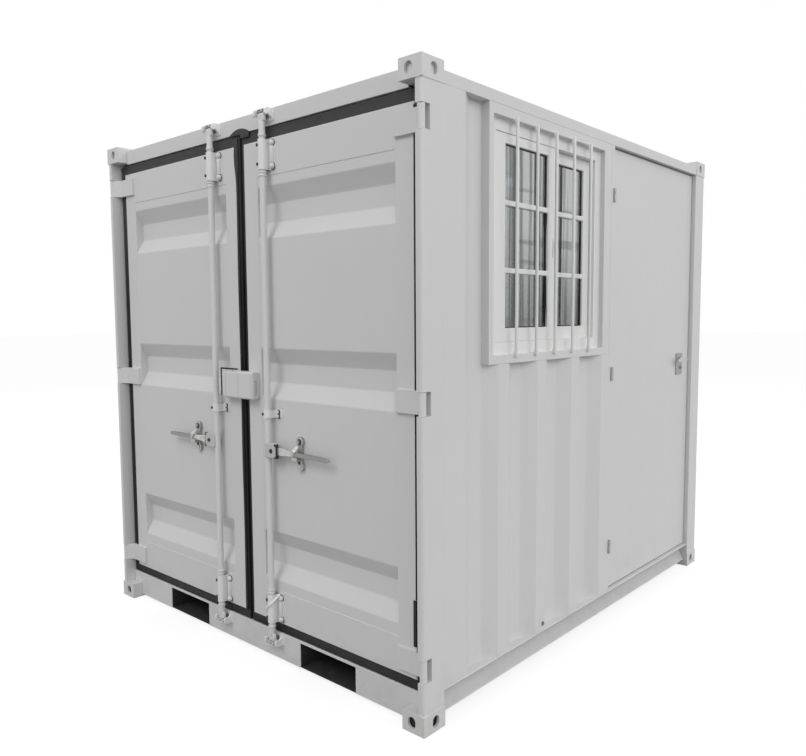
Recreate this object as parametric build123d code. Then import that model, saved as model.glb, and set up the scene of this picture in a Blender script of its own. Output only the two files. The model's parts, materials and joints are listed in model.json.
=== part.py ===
from build123d import *

import os

import numpy as np

# Eight-foot steel container cabin: cargo doors on the front (-Y) end, a barred window and a
# personnel door in the right (+X) side. Millimetres, origin at the middle of the footprint.

# Overall box, corner to corner of the castings
length = 2438.0
width = 2042.0
height = 2260.0

# Corner castings
casting_x = 100.0
casting_lap = 3.0
casting_z = 72.0
casting_wall = 11.0
casting_slot = (34.0, 42.0)
casting_slot_corner = (57.0, 63.0)
casting_foot_slot = (36.0, 58.0)
casting_foot_shift = 5.0
oval_sides = 16

# Plane in which the walls and rails lie, behind the castings' faces
wall_inset = 3.0
post_inset = 2.0

# Rolled and folded steel
sheet = 2.0
plate = 5.0
tube_wall = 4.0

# Front corner posts
post_lip = 28.0
post_back = 61.0
post_web = 6.0
post_web_inset = 9.0
post_solid_depth = 52.0
post_corner = (3.0, 10.0)

# Cargo doorway
door_recess = 50.0
header_height = 66.0
header_top_drop = 13.0
sill_bottom = 10.0
sill_top = 123.0
sill_foot = 44.0

# Fork pockets
pocket_inner = 322.0
pocket_width = 318.0
pocket_top = 112.0
tunnel_wall = 4.0
tunnel_roof = 6.0

# Rails and floor
rail_bottom = 35.0
rail_top = 130.0
rail_web_set_back = 58.0
rail_foot = 45.0
top_rail_drop = 28.0
top_rail_height = 44.0
top_rail_width = 50.0
floor_under = 122.0
floor_thickness = 28.0
floor_side_gap = 7.0
board_gap = 2.0
cross_member_depth = 40.0
cross_member_count = 3

# Corrugation of walls and roof
crest = 66.0
slope = 66.0
valley = 72.0
wave_depth = 36.0
wall_lead = 122.0
roof_wave_depth = 20.0

# Cargo leaves
leaf_thickness = 50.0
leaf_rest_gap = 6.0
leaf_edge_gap = 45.0
leaf_meeting_gap = 22.0
leaf_top_gap = 47.0
leaf_bottom_gap = 40.0
leaf_frame_wall = 4.0
stile_width = 87.0
top_rail_of_leaf = 142.0
bottom_rail_of_leaf = 134.0
panel_recess = 2.0
panel_sheet = 2.5
trough_height = 205.0
trough_floor = 77.0
trough_depth = 36.0
trough_top_drop = 286.0
trough_mid_rise = 1038.0
trough_bottom_rise = 283.0
gasket_clearance = 5.0
gasket_meeting_gap = 7.0
gasket_set_back = 3.0
gasket_depth = 42.0

# Hinges of the cargo leaves
knuckle_radius = 13.0
knuckle_height = 80.0
hinge_pin_radius = 7.0
knuckle_inset = 1.0
running_fit = 0.05
notch_clearance = 1.0
notch_depth = 42.0
strap_thickness = 12.0
strap_lap = 85.0
strap_knee = 16.0
strap_crank = 5.0
strap_shoulder = 8.0
strap_tail = (2.0, 10.0)
hinge_top_drop = 66.0
hinge_mid_rise = 977.0
hinge_bottom_rise = 64.0

# Lock rods, with their guides, cams and keepers
rod_x = 178.0
rod_radius = 13.0
rod_stand_off = 26.0
rod_clearance = 0.3
guide_wall = 4.0
guide_flange = 60.0
bracket_flange = 50.0
bracket_height = 118.0
guide_height = 32.0
guide_rise = 876.0
bracket_end_gap = 8.0
cam_reach = 21.0
cam_width = 16.0
cam_height = 30.0
cam_lap = 4.0
keeper_mouth = 29.0
keeper_half_width = 44.0
keeper_height = 46.0
keeper_depth = 38.0
keeper_bridge = 10.0
keeper_end_gap = 9.0
keeper_edge = 3.0

# Handles
handle_rise = 731.0
hub_reach = 74.0
hub_height = 60.0
hub_cheek = 6.0
hub_floor_gap = 4.0
hub_offset = 6.0
pin_head = 2.0
handle_thickness = 12.0
handle_side_play = 0.5
handle_pivot_reach = 52.0
handle_pin_radius = 6.0
handle_root_radius = 19.0
handle_tip_radius = 12.0
handle_length = 308.0
catch_reach = 174.0
catch_plate = 12.0
catch_lobe_radius = 20.0
catch_lobe_rise = 52.0
catch_lobe_drop = 34.0
catch_neck = 26.0
catch_shelf_play = 5.5
catch_shelf_height = 14.0
catch_shelf_nose = 2.0
catch_hole_radius = 8.0

# Lock box over the meeting line
box_half_width = 95.0
box_height = 115.0
box_rise = 927.0
box_depth = 40.0
box_wall = 4.0
box_meeting_gap = 3.5
box_slot = (14.0, 40.0)
box_slot_corner = 6.5

# Personnel door in the right side
doorway_width = 792.0
door_lap_front = 89.0
door_lap_rear = 93.0
door_leaf_gap = 6.0
door_leaf_thickness = 40.0
door_leaf_set_back = 22.0
door_leaf_skin = 3.0
door_leaf_back_gap = 6.0
door_rib_count = 3
jamb_depth = 35.0
jamb_front = 28.0
jamb_wall = 3.0
door_head = 87.0
barrel_radius = 8.0
barrel_height = 32.0
barrel_pin_radius = 4.0
barrel_gap = 1.0
barrel_bore = 29.0
barrel_stand_off = 10.0
barrel_jamb_gap = 2.0
barrel_flap = 36.0
barrel_plate = 3.0
door_hinge_drop = 210.0
lock_plate = (80.0, 117.0, 5.0)
lock_plate_edge = 88.0
lock_plate_rise = 1162.0
lock_plate_corner = 8.0
lever_inset = 20.0
lever_rise = 22.0
lever_boss_radius = 12.0
lever_projection = 40.0
lever_length = 118.0
lever_height = 20.0
lever_thickness = 11.0
lever_end_radius = 9.5
spindle_radius = 5.0
spindle_room = 3.0

# Window in the right side
window_width = 852.0
window_height = 866.0
window_side_margin = 66.0
window_far_margin = 28.0
window_top_margin = 38.0
window_foot_margin = 33.0
surround_plate = 4.0
window_recess = 24.0
window_frame_depth = 60.0
window_frame_face = 46.0
sash_set_back = 4.0
sash_thickness = 20.0
sash_gap = 4.0
sash_foot = 53.0
outer_sash_share = 0.6
outer_sash_stiles = (70.0, 80.0)
outer_sash_head = 36.0
inner_sash_share = 0.5
inner_sash_stiles = (70.0, 50.0)
inner_sash_head = 48.0
muntin = 20.0
muntin_pitch = 252.0
glass_thickness = 4.0
glass_set_back = 14.0
bar_radius = 6.5
bar_count = 5
bar_overlap_top = 8.0
bar_overlap_foot = 12.0

# Overlap of shapes that are joined into one solid, and the run of a cut past a face
join = 1.0

# Places that follow from the sizes above
half_width = width / 2
half_length = length / 2
wall_x = half_width - wall_inset
wall_y = half_length - wall_inset
post_x = half_width - post_inset
post_y = -half_length + post_inset
casting_inner_x = half_width - casting_x
post_top = height - casting_z
pitch = crest + 2 * slope + valley
door_face = -half_length + door_recess
door_back = door_face + leaf_thickness
panel_face = door_face + panel_recess
post_inner_x = post_x - post_lip
post_rear_y = door_back + leaf_rest_gap + post_web
web_x = half_width - casting_x + post_web_inset
casting_inner_y = -post_rear_y - casting_lap
header_top = height - header_top_drop
header_bottom = header_top - header_height
rail_web_x = wall_x - plate - rail_web_set_back
top_rail_top = height - top_rail_drop
top_rail_bottom = top_rail_top - top_rail_height
top_rail_inner_x = wall_x - top_rail_width
header_back = post_rear_y - post_web
floor_top = floor_under + floor_thickness
floor_x = rail_web_x - floor_side_gap
rear_post_y = casting_inner_y
rear_post_x = casting_inner_x - wall_inset
rear_rail_y = wall_y - top_rail_width

leaf_outer = post_inner_x - leaf_edge_gap
leaf_inner = leaf_meeting_gap
leaf_top = header_bottom - leaf_top_gap
leaf_bottom = sill_top + leaf_bottom_gap
stile_inner = leaf_inner + stile_width
stile_outer = leaf_outer - stile_width
panel_bottom = leaf_bottom + bottom_rail_of_leaf
panel_top = leaf_top - top_rail_of_leaf
hinge_x = post_x - knuckle_radius - knuckle_inset
hinge_y = post_y + knuckle_radius + knuckle_inset
hinge_levels = [leaf_bottom + hinge_bottom_rise, leaf_bottom + hinge_mid_rise, leaf_top - hinge_top_drop]
notch_half = knuckle_height / 2 + notch_clearance

rod_y = door_face - rod_stand_off
rod_top = header_top - keeper_edge - keeper_bridge - keeper_end_gap
rod_bottom = sill_top - keeper_edge - keeper_height + keeper_bridge + keeper_end_gap
handle_z = leaf_bottom + handle_rise
handle_y = rod_y - hub_offset
box_bottom = leaf_bottom + box_rise

leaf_y1 = rear_post_y - door_leaf_gap
doorway_y1 = rear_post_y - door_lap_rear
doorway_y0 = doorway_y1 - doorway_width
jamb_y = doorway_y0 - door_lap_front
leaf_y0 = jamb_y + door_leaf_gap
jamb_outer_y = jamb_y - jamb_front
leaf_face_x = wall_x - door_leaf_set_back
leaf_back_x = leaf_face_x - door_leaf_thickness
jamb_face_x = leaf_back_x - door_leaf_back_gap
doorway_top = top_rail_bottom - door_head
door_leaf_bottom = rail_top + door_leaf_gap
door_leaf_top = top_rail_bottom - door_leaf_gap
barrel_x = leaf_face_x + barrel_stand_off
barrel_y = jamb_y + barrel_radius + barrel_jamb_gap
door_hinge_levels = [
    door_leaf_bottom + door_hinge_drop,
    (door_leaf_bottom + door_leaf_top) / 2,
    door_leaf_top - door_hinge_drop,
]

plate_y1 = leaf_y1 - lock_plate_edge
lever_y = plate_y1 - lock_plate[0] / 2 + lever_inset
lever_z = lock_plate_rise + lever_rise

window_y1 = jamb_outer_y - window_side_margin
window_y0 = window_y1 - window_width
surround_y0 = window_y0 - window_far_margin
window_top = top_rail_bottom - window_top_margin
window_bottom = window_top - window_height
surround_bottom = window_bottom - window_foot_margin
frame_face_x = wall_x - window_recess
frame_back_x = frame_face_x - window_frame_depth


def block(x, y, z):
    """Box between two corners, each axis given as (low, high)."""
    size = [high - low for low, high in (x, y, z)]
    middle = [(low + high) / 2 for low, high in (x, y, z)]
    return Pos(*middle) * Box(*size)


def prism(points, axis, low, high):
    """Closed outline carried along an axis. x: (y, z) points, y: (x, z), z: (x, y)."""
    plane, way = {
        "x": (Plane.YZ.offset(low), (1, 0, 0)),
        "y": (Plane.XZ.offset(-low), (0, 1, 0)),
        "z": (Plane.XY.offset(low), (0, 0, 1)),
    }[axis]
    outline = plane * make_face(Polyline(*points, close=True))
    return extrude(outline, high - low, dir=way)


def rod(centre, axis, radius, low, high):
    """Round bar along an axis through a centre given in the other two coordinates."""
    a, b = centre
    middle = (low + high) / 2
    bar = Cylinder(radius, high - low)
    return {
        "x": Pos(middle, a, b) * Rot(0, 90, 0) * bar,
        "y": Pos(a, middle, b) * Rot(90, 0, 0) * bar,
        "z": Pos(a, b, middle) * bar,
    }[axis]


def wave_line(start, end, first, count, depth):
    """Folded line from start to end, as (run, drop) points: flat crests and valleys with slopes."""
    knots = []
    for n in range(count):
        foot = first + n * pitch
        knots += [(foot, 0.0), (foot + slope, depth)]
        knots += [(foot + slope + valley, depth), (foot + 2 * slope + valley, 0.0)]
    runs = [run for run, _ in knots]
    drops = [drop for _, drop in knots]
    inside = [(run, drop) for run, drop in knots if start < run < end]
    ends = [(edge, float(np.interp(edge, runs, drops))) for edge in (start, end)]
    return [ends[0], *inside, ends[1]]


def even_waves(start, end):
    """First valley and number of valleys that sit evenly between two ends."""
    count = max(1, int((end - start - 2 * crest) // pitch))
    run = count * pitch - crest
    return (start + end - run) / 2, count


def corrugated(line, face, inward, axis, low, high, swap):
    """Sheet with the folded line as its outer face. swap puts the run second in the outline."""
    outer = [(run, face + inward * drop) for run, drop in line]
    inner = [(run, at + inward * sheet) for run, at in reversed(outer)]
    points = outer + inner
    if swap:
        points = [(b, a) for a, b in points]
    return prism(points, axis, low, high)


def oval(wide, high, corner):
    """Flat-sided oval outline with round-cut corners, as a face round its middle."""
    quarter = oval_sides // 4
    points = []
    for n in range(oval_sides):
        turn = (n + 0.5) * 2 * np.pi / oval_sides
        side_x = 1 if n < quarter or n >= 3 * quarter else -1
        side_y = 1 if n < 2 * quarter else -1
        x = side_x * (wide / 2 - corner) + corner * float(np.cos(turn))
        y = side_y * (high / 2 - corner) + corner * float(np.sin(turn))
        points.append((x, y))
    return make_face(Polyline(*points, close=True))


def mirrored(piece):
    """The same piece on the left."""
    return mirror(piece, about=Plane.YZ)


# --- Frame -----------------------------------------------------------------------------------


def corner_casting():
    """Hollow front right bottom casting with an oval hole in each outer face."""
    x = (casting_inner_x, half_width)
    y = (-half_length, -casting_inner_y)
    body = block(x, y, (0, casting_z))
    room = block(
        (x[0] + casting_wall, x[1] - casting_wall),
        (y[0] + casting_wall, y[1] - casting_wall),
        (casting_wall, casting_z - casting_wall),
    )
    slot_x = half_width - casting_slot_corner[0]
    slot_y = -half_length + casting_slot_corner[1]
    side_hole = oval(*casting_slot, casting_slot[0] / 2)
    front_face = Plane.XZ.offset(half_length + join) * Pos(slot_x, casting_z / 2) * side_hole
    front = extrude(front_face, 2 * casting_wall, dir=(0, 1, 0))
    side_face = Plane.YZ.offset(half_width + join) * Pos(slot_y, casting_z / 2) * side_hole
    side = extrude(side_face, 2 * casting_wall, dir=(-1, 0, 0))
    foot_hole = oval(*casting_foot_slot, casting_foot_slot[0] / 2)
    foot = extrude(Pos(slot_x - casting_foot_shift, slot_y, -join) * foot_hole, 2 * casting_wall)
    return body - room - front - side - foot


def front_castings():
    """The two castings at the foot of the front posts."""
    return [corner_casting(), mirrored(corner_casting())]


def rear_castings():
    """The two castings at the foot of the rear posts."""
    return [mirror(piece, about=Plane.XZ) for piece in front_castings()]


def top_castings():
    """The four castings at the head of the posts."""
    below = front_castings() + rear_castings()
    return [mirror(piece, about=Plane.XY.offset(height / 2)) for piece in below]


def front_post():
    """Right door post with its hinge pins: a thick bar at the corner, a hollow side and a web."""
    near, far = post_corner
    outline = [
        (post_inner_x, post_y),
        (post_x - far, post_y),
        (post_x - near, post_y + near),
        (post_x, post_y + far),
        (post_x, post_rear_y),
        (web_x, post_rear_y),
        (web_x, post_rear_y - post_web),
        (post_inner_x, post_rear_y - post_web),
    ]
    post = prism(outline, "z", casting_z, post_top)
    hollow = block(
        (post_inner_x + post_web, post_x - post_web),
        (post_y + post_solid_depth, post_rear_y - post_web),
        (casting_z, post_top),
    )
    post -= hollow
    for level in hinge_levels:
        post -= block(
            (post_inner_x, post_x),
            (post_y, post_y + notch_depth),
            (level - notch_half, level + notch_half),
        )
        reach = notch_half + join
        post += rod((hinge_x, hinge_y), "z", hinge_pin_radius, level - reach, level + reach)
    return post


def rear_post():
    """Square hollow right rear post."""
    x = (rear_post_x, wall_x)
    y = (rear_post_y, wall_y)
    z = (casting_z, post_top)
    inner = [(low + tube_wall, high - tube_wall) for low, high in (x, y)]
    return block(x, y, z) - block(*inner, z)


def door_header():
    """Hollow beam over the cargo doorway."""
    x = (-casting_inner_x, casting_inner_x)
    y = (door_face, header_back)
    z = (header_bottom, header_top)
    inner = [(low + tube_wall, high - tube_wall) for low, high in (y, z)]
    return block(x, y, z) - block(x, *inner)


def fork_cuts(y, top):
    """Room for the forks through a sill, open at the bottom."""
    right = block((pocket_inner, pocket_inner + pocket_width), y, (sill_bottom - join, top))
    return right + mirrored(right)


def door_sill():
    """Channel under the cargo doorway, with the two fork pockets."""
    foot_y = door_face + sill_foot
    channel = [
        (door_face, sill_bottom),
        (foot_y, sill_bottom),
        (foot_y, sill_bottom + plate),
        (door_face + plate, sill_bottom + plate),
        (door_face + plate, sill_top - plate),
        (header_back, sill_top - plate),
        (header_back, sill_top),
        (door_face, sill_top),
    ]
    sill = prism(channel, "x", -casting_inner_x, casting_inner_x)
    ends = block((-post_inner_x, post_inner_x), (door_face, header_back), (casting_z, sill_top))
    end_room = ((door_face + plate, header_back), (casting_z, sill_top - plate))
    ends -= block((-post_inner_x, post_inner_x), *end_room)
    return sill + ends - fork_cuts((door_face - join, header_back + join), pocket_top)


def rear_rails():
    """Top and bottom beams of the rear end."""
    x = (-rear_post_x, rear_post_x)
    z = (top_rail_bottom, top_rail_top)
    y = (rear_rail_y, wall_y)
    inner = [(low + tube_wall, high - tube_wall) for low, high in (y, z)]
    top = block(x, y, z) - block(x, *inner)
    channel = [
        (wall_y, sill_bottom),
        (wall_y - sill_foot, sill_bottom),
        (wall_y - sill_foot, sill_bottom + plate),
        (wall_y - plate, sill_bottom + plate),
        (wall_y - plate, rail_top - plate),
        (rear_rail_y, rail_top - plate),
        (rear_rail_y, rail_top),
        (wall_y, rail_top),
    ]
    bottom = prism(channel, "x", *x)
    bottom -= fork_cuts((rear_rail_y, wall_y + join), pocket_top)
    return [top, bottom]


def top_side_rails():
    """Hollow rails along both sides of the roof."""
    x = (top_rail_inner_x, wall_x)
    y = (-casting_inner_y, casting_inner_y)
    z = (top_rail_bottom, top_rail_top)
    inner = [(low + tube_wall, high - tube_wall) for low, high in (x, z)]
    right = block(x, y, z) - block(inner[0], y, inner[1])
    return [right, mirrored(right)]


def bottom_side_rails():
    """Channels along both sides of the floor, with their flanges outwards."""
    foot_x = rail_web_x + rail_foot
    channel = [
        (rail_web_x, rail_bottom),
        (foot_x, rail_bottom),
        (foot_x, rail_bottom + plate),
        (rail_web_x + plate, rail_bottom + plate),
        (rail_web_x + plate, rail_top - plate),
        (wall_x, rail_top - plate),
        (wall_x, rail_top),
        (rail_web_x, rail_top),
    ]
    right = prism(channel, "y", -casting_inner_y, casting_inner_y)
    return [right, mirrored(right)]


def fork_tunnels():
    """Two guides for the forks from the front sill to the rear one, open below."""
    x = (pocket_inner - tunnel_wall, pocket_inner + pocket_width + tunnel_wall)
    y = (door_face + plate, wall_y - plate)
    z = (sill_bottom + plate, pocket_top + tunnel_roof)
    room = block((pocket_inner, pocket_inner + pocket_width), y, (z[0], pocket_top))
    right = block(x, y, z) - room
    return [right, mirrored(right)]


def cross_members():
    """Channels across the floor, in three lengths between the rails and the fork tunnels."""
    inner = pocket_inner - tunnel_wall
    outer = pocket_inner + pocket_width + tunnel_wall
    spans = [(-rail_web_x, -outer), (-inner, inner), (outer, rail_web_x)]
    low = rail_bottom + plate
    pieces = []
    for n in range(cross_member_count):
        y = -casting_inner_y + (n + 1) * 2 * casting_inner_y / (cross_member_count + 1)
        channel = [
            (y, low),
            (y + cross_member_depth, low),
            (y + cross_member_depth, low + tube_wall),
            (y + tube_wall, low + tube_wall),
            (y + tube_wall, floor_under - tube_wall),
            (y + cross_member_depth, floor_under - tube_wall),
            (y + cross_member_depth, floor_under),
            (y, floor_under),
        ]
        pieces += [prism(channel, "x", *span) for span in spans]
    return pieces


def floor_board():
    """Plywood floor, notched round the rear posts."""
    z = (floor_under, floor_top)
    board_end = rear_post_y - board_gap
    board = block((-floor_x, floor_x), (post_rear_y, board_end), z)
    back_x = rear_post_x - board_gap
    back_y = rear_rail_y - board_gap
    return board + block((-back_x, back_x), (board_end - join, back_y), z)


# --- Sheet walls and roof --------------------------------------------------------------------


def roof_panel():
    """Roof sheet with shallow folds across the cabin, between the rails."""
    y = (header_back, rear_rail_y)
    first, count = even_waves(*y)
    line = wave_line(*y, first, count, roof_wave_depth)
    face = top_rail_top - 2 * tube_wall
    roof = corrugated(line, face, -1, "x", -top_rail_inner_x, top_rail_inner_x, False)
    for side in (-1, 1):
        for end in (-1, 1):
            x = sorted((side * casting_inner_x, side * half_width))
            corner_y = sorted((end * casting_inner_y, end * half_length))
            roof -= block(x, corner_y, (post_top, height))
    return roof


def left_wall():
    """Side sheet with no opening."""
    y = (post_rear_y, rear_post_y)
    first, count = even_waves(*y)
    line = wave_line(*y, first, count, wave_depth)
    return corrugated(line, -wall_x, 1, "z", rail_top, top_rail_bottom, True)


def rear_wall():
    """End sheet between the rear posts."""
    x = (-rear_post_x, rear_post_x)
    first, count = even_waves(*x)
    line = wave_line(*x, first, count, wave_depth)
    return corrugated(line, wall_y, -1, "z", rail_top, top_rail_bottom, False)


def right_wall_sheet(y0, y1, top):
    """Stretch of the right sheet, whose folds start a flat lead behind the front post."""
    first = post_rear_y + wall_lead
    count = max(1, int((jamb_outer_y - first + sheet) // pitch))
    line = wave_line(y0, y1, first, count, wave_depth)
    return corrugated(line, wall_x, -1, "z", rail_top, top, True)


# --- Window ----------------------------------------------------------------------------------


def window_surround():
    """Flat plate on the wall with edge returns and a deep sleeve round the opening."""
    y = (surround_y0, jamb_outer_y)
    z = (surround_bottom, top_rail_bottom)
    tray = block((wall_x - wave_depth - sheet, wall_x), y, z)
    inner_y = (y[0] + surround_plate, y[1] - surround_plate)
    inner_z = (z[0] + surround_plate, z[1] - surround_plate)
    tray -= block((wall_x - wave_depth - sheet, wall_x - surround_plate), inner_y, inner_z)
    sleeve_y = (window_y0 - surround_plate, window_y1 + surround_plate)
    sleeve_z = (window_bottom - surround_plate, window_top + surround_plate)
    sleeve = block((frame_back_x, wall_x), sleeve_y, sleeve_z)
    opening = block((frame_back_x, wall_x), (window_y0, window_y1), (window_bottom, window_top))
    return tray + sleeve - opening


def window_frame():
    """Fixed white frame in the sleeve."""
    y = (window_y0, window_y1)
    z = (window_bottom, window_top)
    x = (frame_back_x, frame_face_x)
    inner = [(low + window_frame_face, high - window_frame_face) for low, high in (y, z)]
    return block(x, y, z) - block(x, *inner)


def sash_shape(outer):
    """X, Y and Z ranges of a sash, then the Y and Z ranges of its glass."""
    low = window_y0 + window_frame_face
    high = window_y1 - window_frame_face
    front = frame_face_x - sash_set_back
    if outer:
        y = (low, low + outer_sash_share * (high - low))
        stiles = outer_sash_stiles
        head = outer_sash_head
    else:
        y = (high - inner_sash_share * (high - low), high)
        stiles = inner_sash_stiles
        head = inner_sash_head
        front -= sash_thickness + sash_gap
    z = (window_bottom + window_frame_face, window_top - window_frame_face)
    light_y = (y[0] + stiles[0], y[1] - stiles[1])
    light_z = (z[0] + sash_foot, z[1] - head)
    return (front - sash_thickness, front), y, z, light_y, light_z


def window_sashes():
    """Two sashes, each with two muntins across the front of its glass."""
    pieces = []
    outer_light = sash_shape(True)[4]
    muntin_middle = (outer_light[0] + outer_light[1]) / 2
    for outer in (True, False):
        x, y, z, light_y, light_z = sash_shape(outer)
        sash = block(x, y, z) - block(x, light_y, light_z)
        glass_face = x[1] - glass_set_back
        for level in (muntin_middle - muntin_pitch / 2, muntin_middle + muntin_pitch / 2):
            sash += block((glass_face, x[1]), light_y, (level - muntin / 2, level + muntin / 2))
        pieces.append(sash)
    return pieces


def window_glass():
    """Two panes set back in the sashes."""
    panes = []
    for outer in (True, False):
        x, _, _, light_y, light_z = sash_shape(outer)
        face = x[1] - glass_set_back
        panes.append(block((face - glass_thickness, face), light_y, light_z))
    return panes


def security_bars():
    """Upright round bars across the opening, on the face of the surround."""
    pitch_of_bars = window_width / (bar_count + 1)
    low = window_bottom - bar_overlap_foot
    high = window_top + bar_overlap_top
    places = [window_y0 + (n + 1) * pitch_of_bars for n in range(bar_count)]
    return [rod((wall_x + bar_radius, y), "z", bar_radius, low, high) for y in places]


# --- Cargo leaves, drawn on the right ---------------------------------------------------------


def leaf_frame():
    """Leaf surround folded from plate: four channels open at the back."""
    outer = ((leaf_inner, leaf_outer), (leaf_bottom, leaf_top))
    window = ((stile_inner, stile_outer), (panel_bottom, panel_top))
    y = (door_face, door_back)
    frame = block(outer[0], y, outer[1]) - block(window[0], y, window[1])
    wall = leaf_frame_wall
    groove_out = [(low + wall, high - wall) for low, high in outer]
    groove_in = [(low - wall, high + wall) for low, high in window]
    depth = (door_face + wall, door_back)
    groove = block(groove_out[0], depth, groove_out[1]) - block(groove_in[0], depth, groove_in[1])
    return frame - groove


def leaf_panel():
    """Sheet in the leaf with three level troughs."""
    face = panel_face
    half_floor = trough_floor / 2
    half_mouth = trough_height / 2
    levels = [
        leaf_bottom + trough_bottom_rise,
        leaf_bottom + trough_mid_rise,
        leaf_top - trough_top_drop,
    ]
    line = [(face, panel_bottom)]
    for level in levels:
        line += [(face, level - half_mouth), (face + trough_depth, level - half_floor)]
        line += [(face + trough_depth, level + half_floor), (face, level + half_mouth)]
    line.append((face, panel_top))
    back = [(y + panel_sheet, z) for y, z in reversed(line)]
    return prism(line + back, "x", stile_inner, stile_outer)


def leaf_gasket():
    """Rubber seal round the leaf, up to the frame and the meeting line."""
    y = (door_face + gasket_set_back, door_face + gasket_set_back + gasket_depth)
    x = (gasket_meeting_gap, post_inner_x - gasket_clearance)
    z = (sill_top + gasket_clearance, header_bottom - gasket_clearance)
    return block(x, y, z) - block((leaf_inner, leaf_outer), y, (leaf_bottom, leaf_top))


def leaf_hinges():
    """Three straps on the leaf, each cranked forward to a knuckle on the post's pin."""
    knee = post_inner_x - strap_knee
    front = door_face - strap_thickness
    outline = [
        (leaf_outer - strap_lap, front),
        (knee - strap_crank, front),
        (hinge_x - strap_shoulder, hinge_y - strap_shoulder),
        (hinge_x - strap_tail[0], hinge_y + strap_tail[1]),
        (knee + strap_crank, door_face),
        (leaf_outer - strap_lap, door_face),
    ]
    pieces = []
    for level in hinge_levels:
        low, high = level - knuckle_height / 2, level + knuckle_height / 2
        strap = prism(outline, "z", low, high)
        strap += rod((hinge_x, hinge_y), "z", knuckle_radius, low, high)
        strap -= rod((hinge_x, hinge_y), "z", hinge_pin_radius + running_fit, low, high)
        pieces.append(strap)
    return pieces


def rod_housing(z0, z1, flange, face):
    """Strap folded round the lock rod, with a flange each side on the leaf's face."""
    bore = rod_radius + rod_clearance
    outer = bore + guide_wall
    body = rod((rod_x, rod_y), "z", outer, z0, z1)
    body += block((rod_x - outer, rod_x + outer), (rod_y, face), (z0, z1))
    body += block((rod_x - flange, rod_x + flange), (door_face - guide_wall, face), (z0, z1))
    body -= rod((rod_x, rod_y), "z", bore, z0, z1)
    body -= block((rod_x - bore, rod_x + bore), (rod_y, face), (z0, z1))
    return body - block((rod_x - outer, rod_x + outer), (face, face + outer), (z0, z1))


def rod_guides():
    """End brackets and middle guide that hold the lock rod to its leaf."""
    mid = leaf_bottom + guide_rise
    top = leaf_top - bracket_end_gap
    bottom = leaf_bottom + bracket_end_gap
    return [
        rod_housing(bottom, bottom + bracket_height, bracket_flange, door_face),
        rod_housing(mid - guide_height / 2, mid + guide_height / 2, guide_flange, panel_face),
        rod_housing(top - bracket_height, top, bracket_flange, door_face),
    ]


def lock_rod():
    """Upright rod with a two-armed cam on each end and the forked hub of its handle."""
    reach = cam_height - cam_lap
    body = rod((rod_x, rod_y), "z", rod_radius, rod_bottom + reach, rod_top - reach)
    half = cam_width / 2
    arm = cam_reach - half
    for low in (rod_bottom, rod_top - cam_height):
        high = low + cam_height
        body += block((rod_x - arm, rod_x + arm), (rod_y - half, rod_y + half), (low, high))
        for side in (-arm, arm):
            body += rod((rod_x + side, rod_y), "z", half, low, high)
    half_slot = handle_thickness / 2 + handle_side_play
    half_hub = half_slot + hub_cheek
    z = (handle_z - hub_height / 2, handle_z + hub_height / 2)
    hub = block((rod_x, rod_x + hub_reach), (handle_y - half_hub, handle_y + half_hub), z)
    slot_x = (rod_x + handle_pivot_reach - handle_root_radius - hub_floor_gap, rod_x + hub_reach)
    hub -= block(slot_x, (handle_y - half_slot, handle_y + half_slot), z)
    pivot = (rod_x + handle_pivot_reach, handle_z)
    pin_reach = half_hub + pin_head
    pin = rod(pivot, "y", handle_pin_radius, handle_y - pin_reach, handle_y + pin_reach)
    return body + hub + pin


def rod_handle():
    """Tapered flat bar that lies along the leaf, pinned in the hub."""
    root = rod_x + handle_pivot_reach
    tip = root + handle_length
    ends = Pos(root, handle_z) * Circle(handle_root_radius) + Pos(tip, handle_z) * Circle(handle_tip_radius)
    outline = Plane.XZ.offset(-(handle_y - handle_thickness / 2)) * make_hull(ends.edges())
    bar = extrude(outline, handle_thickness, dir=(0, 1, 0))
    depth = (handle_y - handle_thickness, handle_y + handle_thickness)
    return bar - rod((root, handle_z), "y", handle_pin_radius + 2 * running_fit, *depth)


def handle_catch():
    """Lobed plate on the leaf with a shelf under the handle and an eye for a padlock."""
    x = rod_x + catch_reach
    y = (door_face - catch_plate, panel_face)
    upper = (x, handle_z + catch_lobe_rise)
    lower = (x, handle_z - catch_lobe_drop)
    body = block((x - catch_neck / 2, x + catch_neck / 2), y, (lower[1], upper[1]))
    for centre in (upper, lower):
        body += rod(centre, "y", catch_lobe_radius, *y)
    body -= rod(upper, "y", catch_hole_radius, *y)
    shelf_top = handle_z - handle_root_radius - catch_shelf_play
    shelf_y = (handle_y - handle_thickness / 2 - catch_shelf_nose, door_face - catch_plate)
    shelf_z = (shelf_top - catch_shelf_height, shelf_top)
    return body + block((x - catch_neck / 2, x + catch_neck / 2), shelf_y, shelf_z)


def lock_box():
    """Half of the steel shroud over the meeting line, open below and towards the other half."""
    x = (box_meeting_gap, box_half_width)
    y = (door_face - box_depth, door_face)
    z = (box_bottom, box_bottom + box_height)
    room = block((x[0], x[1] - box_wall), (y[0] + box_wall, y[1]), (z[0], z[1] - box_wall))
    slot = oval(*box_slot, box_slot_corner)
    slot_face = Plane.YZ.offset(x[1] + join) * Pos((y[0] + y[1]) / 2, (z[0] + z[1]) / 2) * slot
    return block(x, y, z) - room - extrude(slot_face, 2 * box_wall, dir=(-1, 0, 0))


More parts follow.
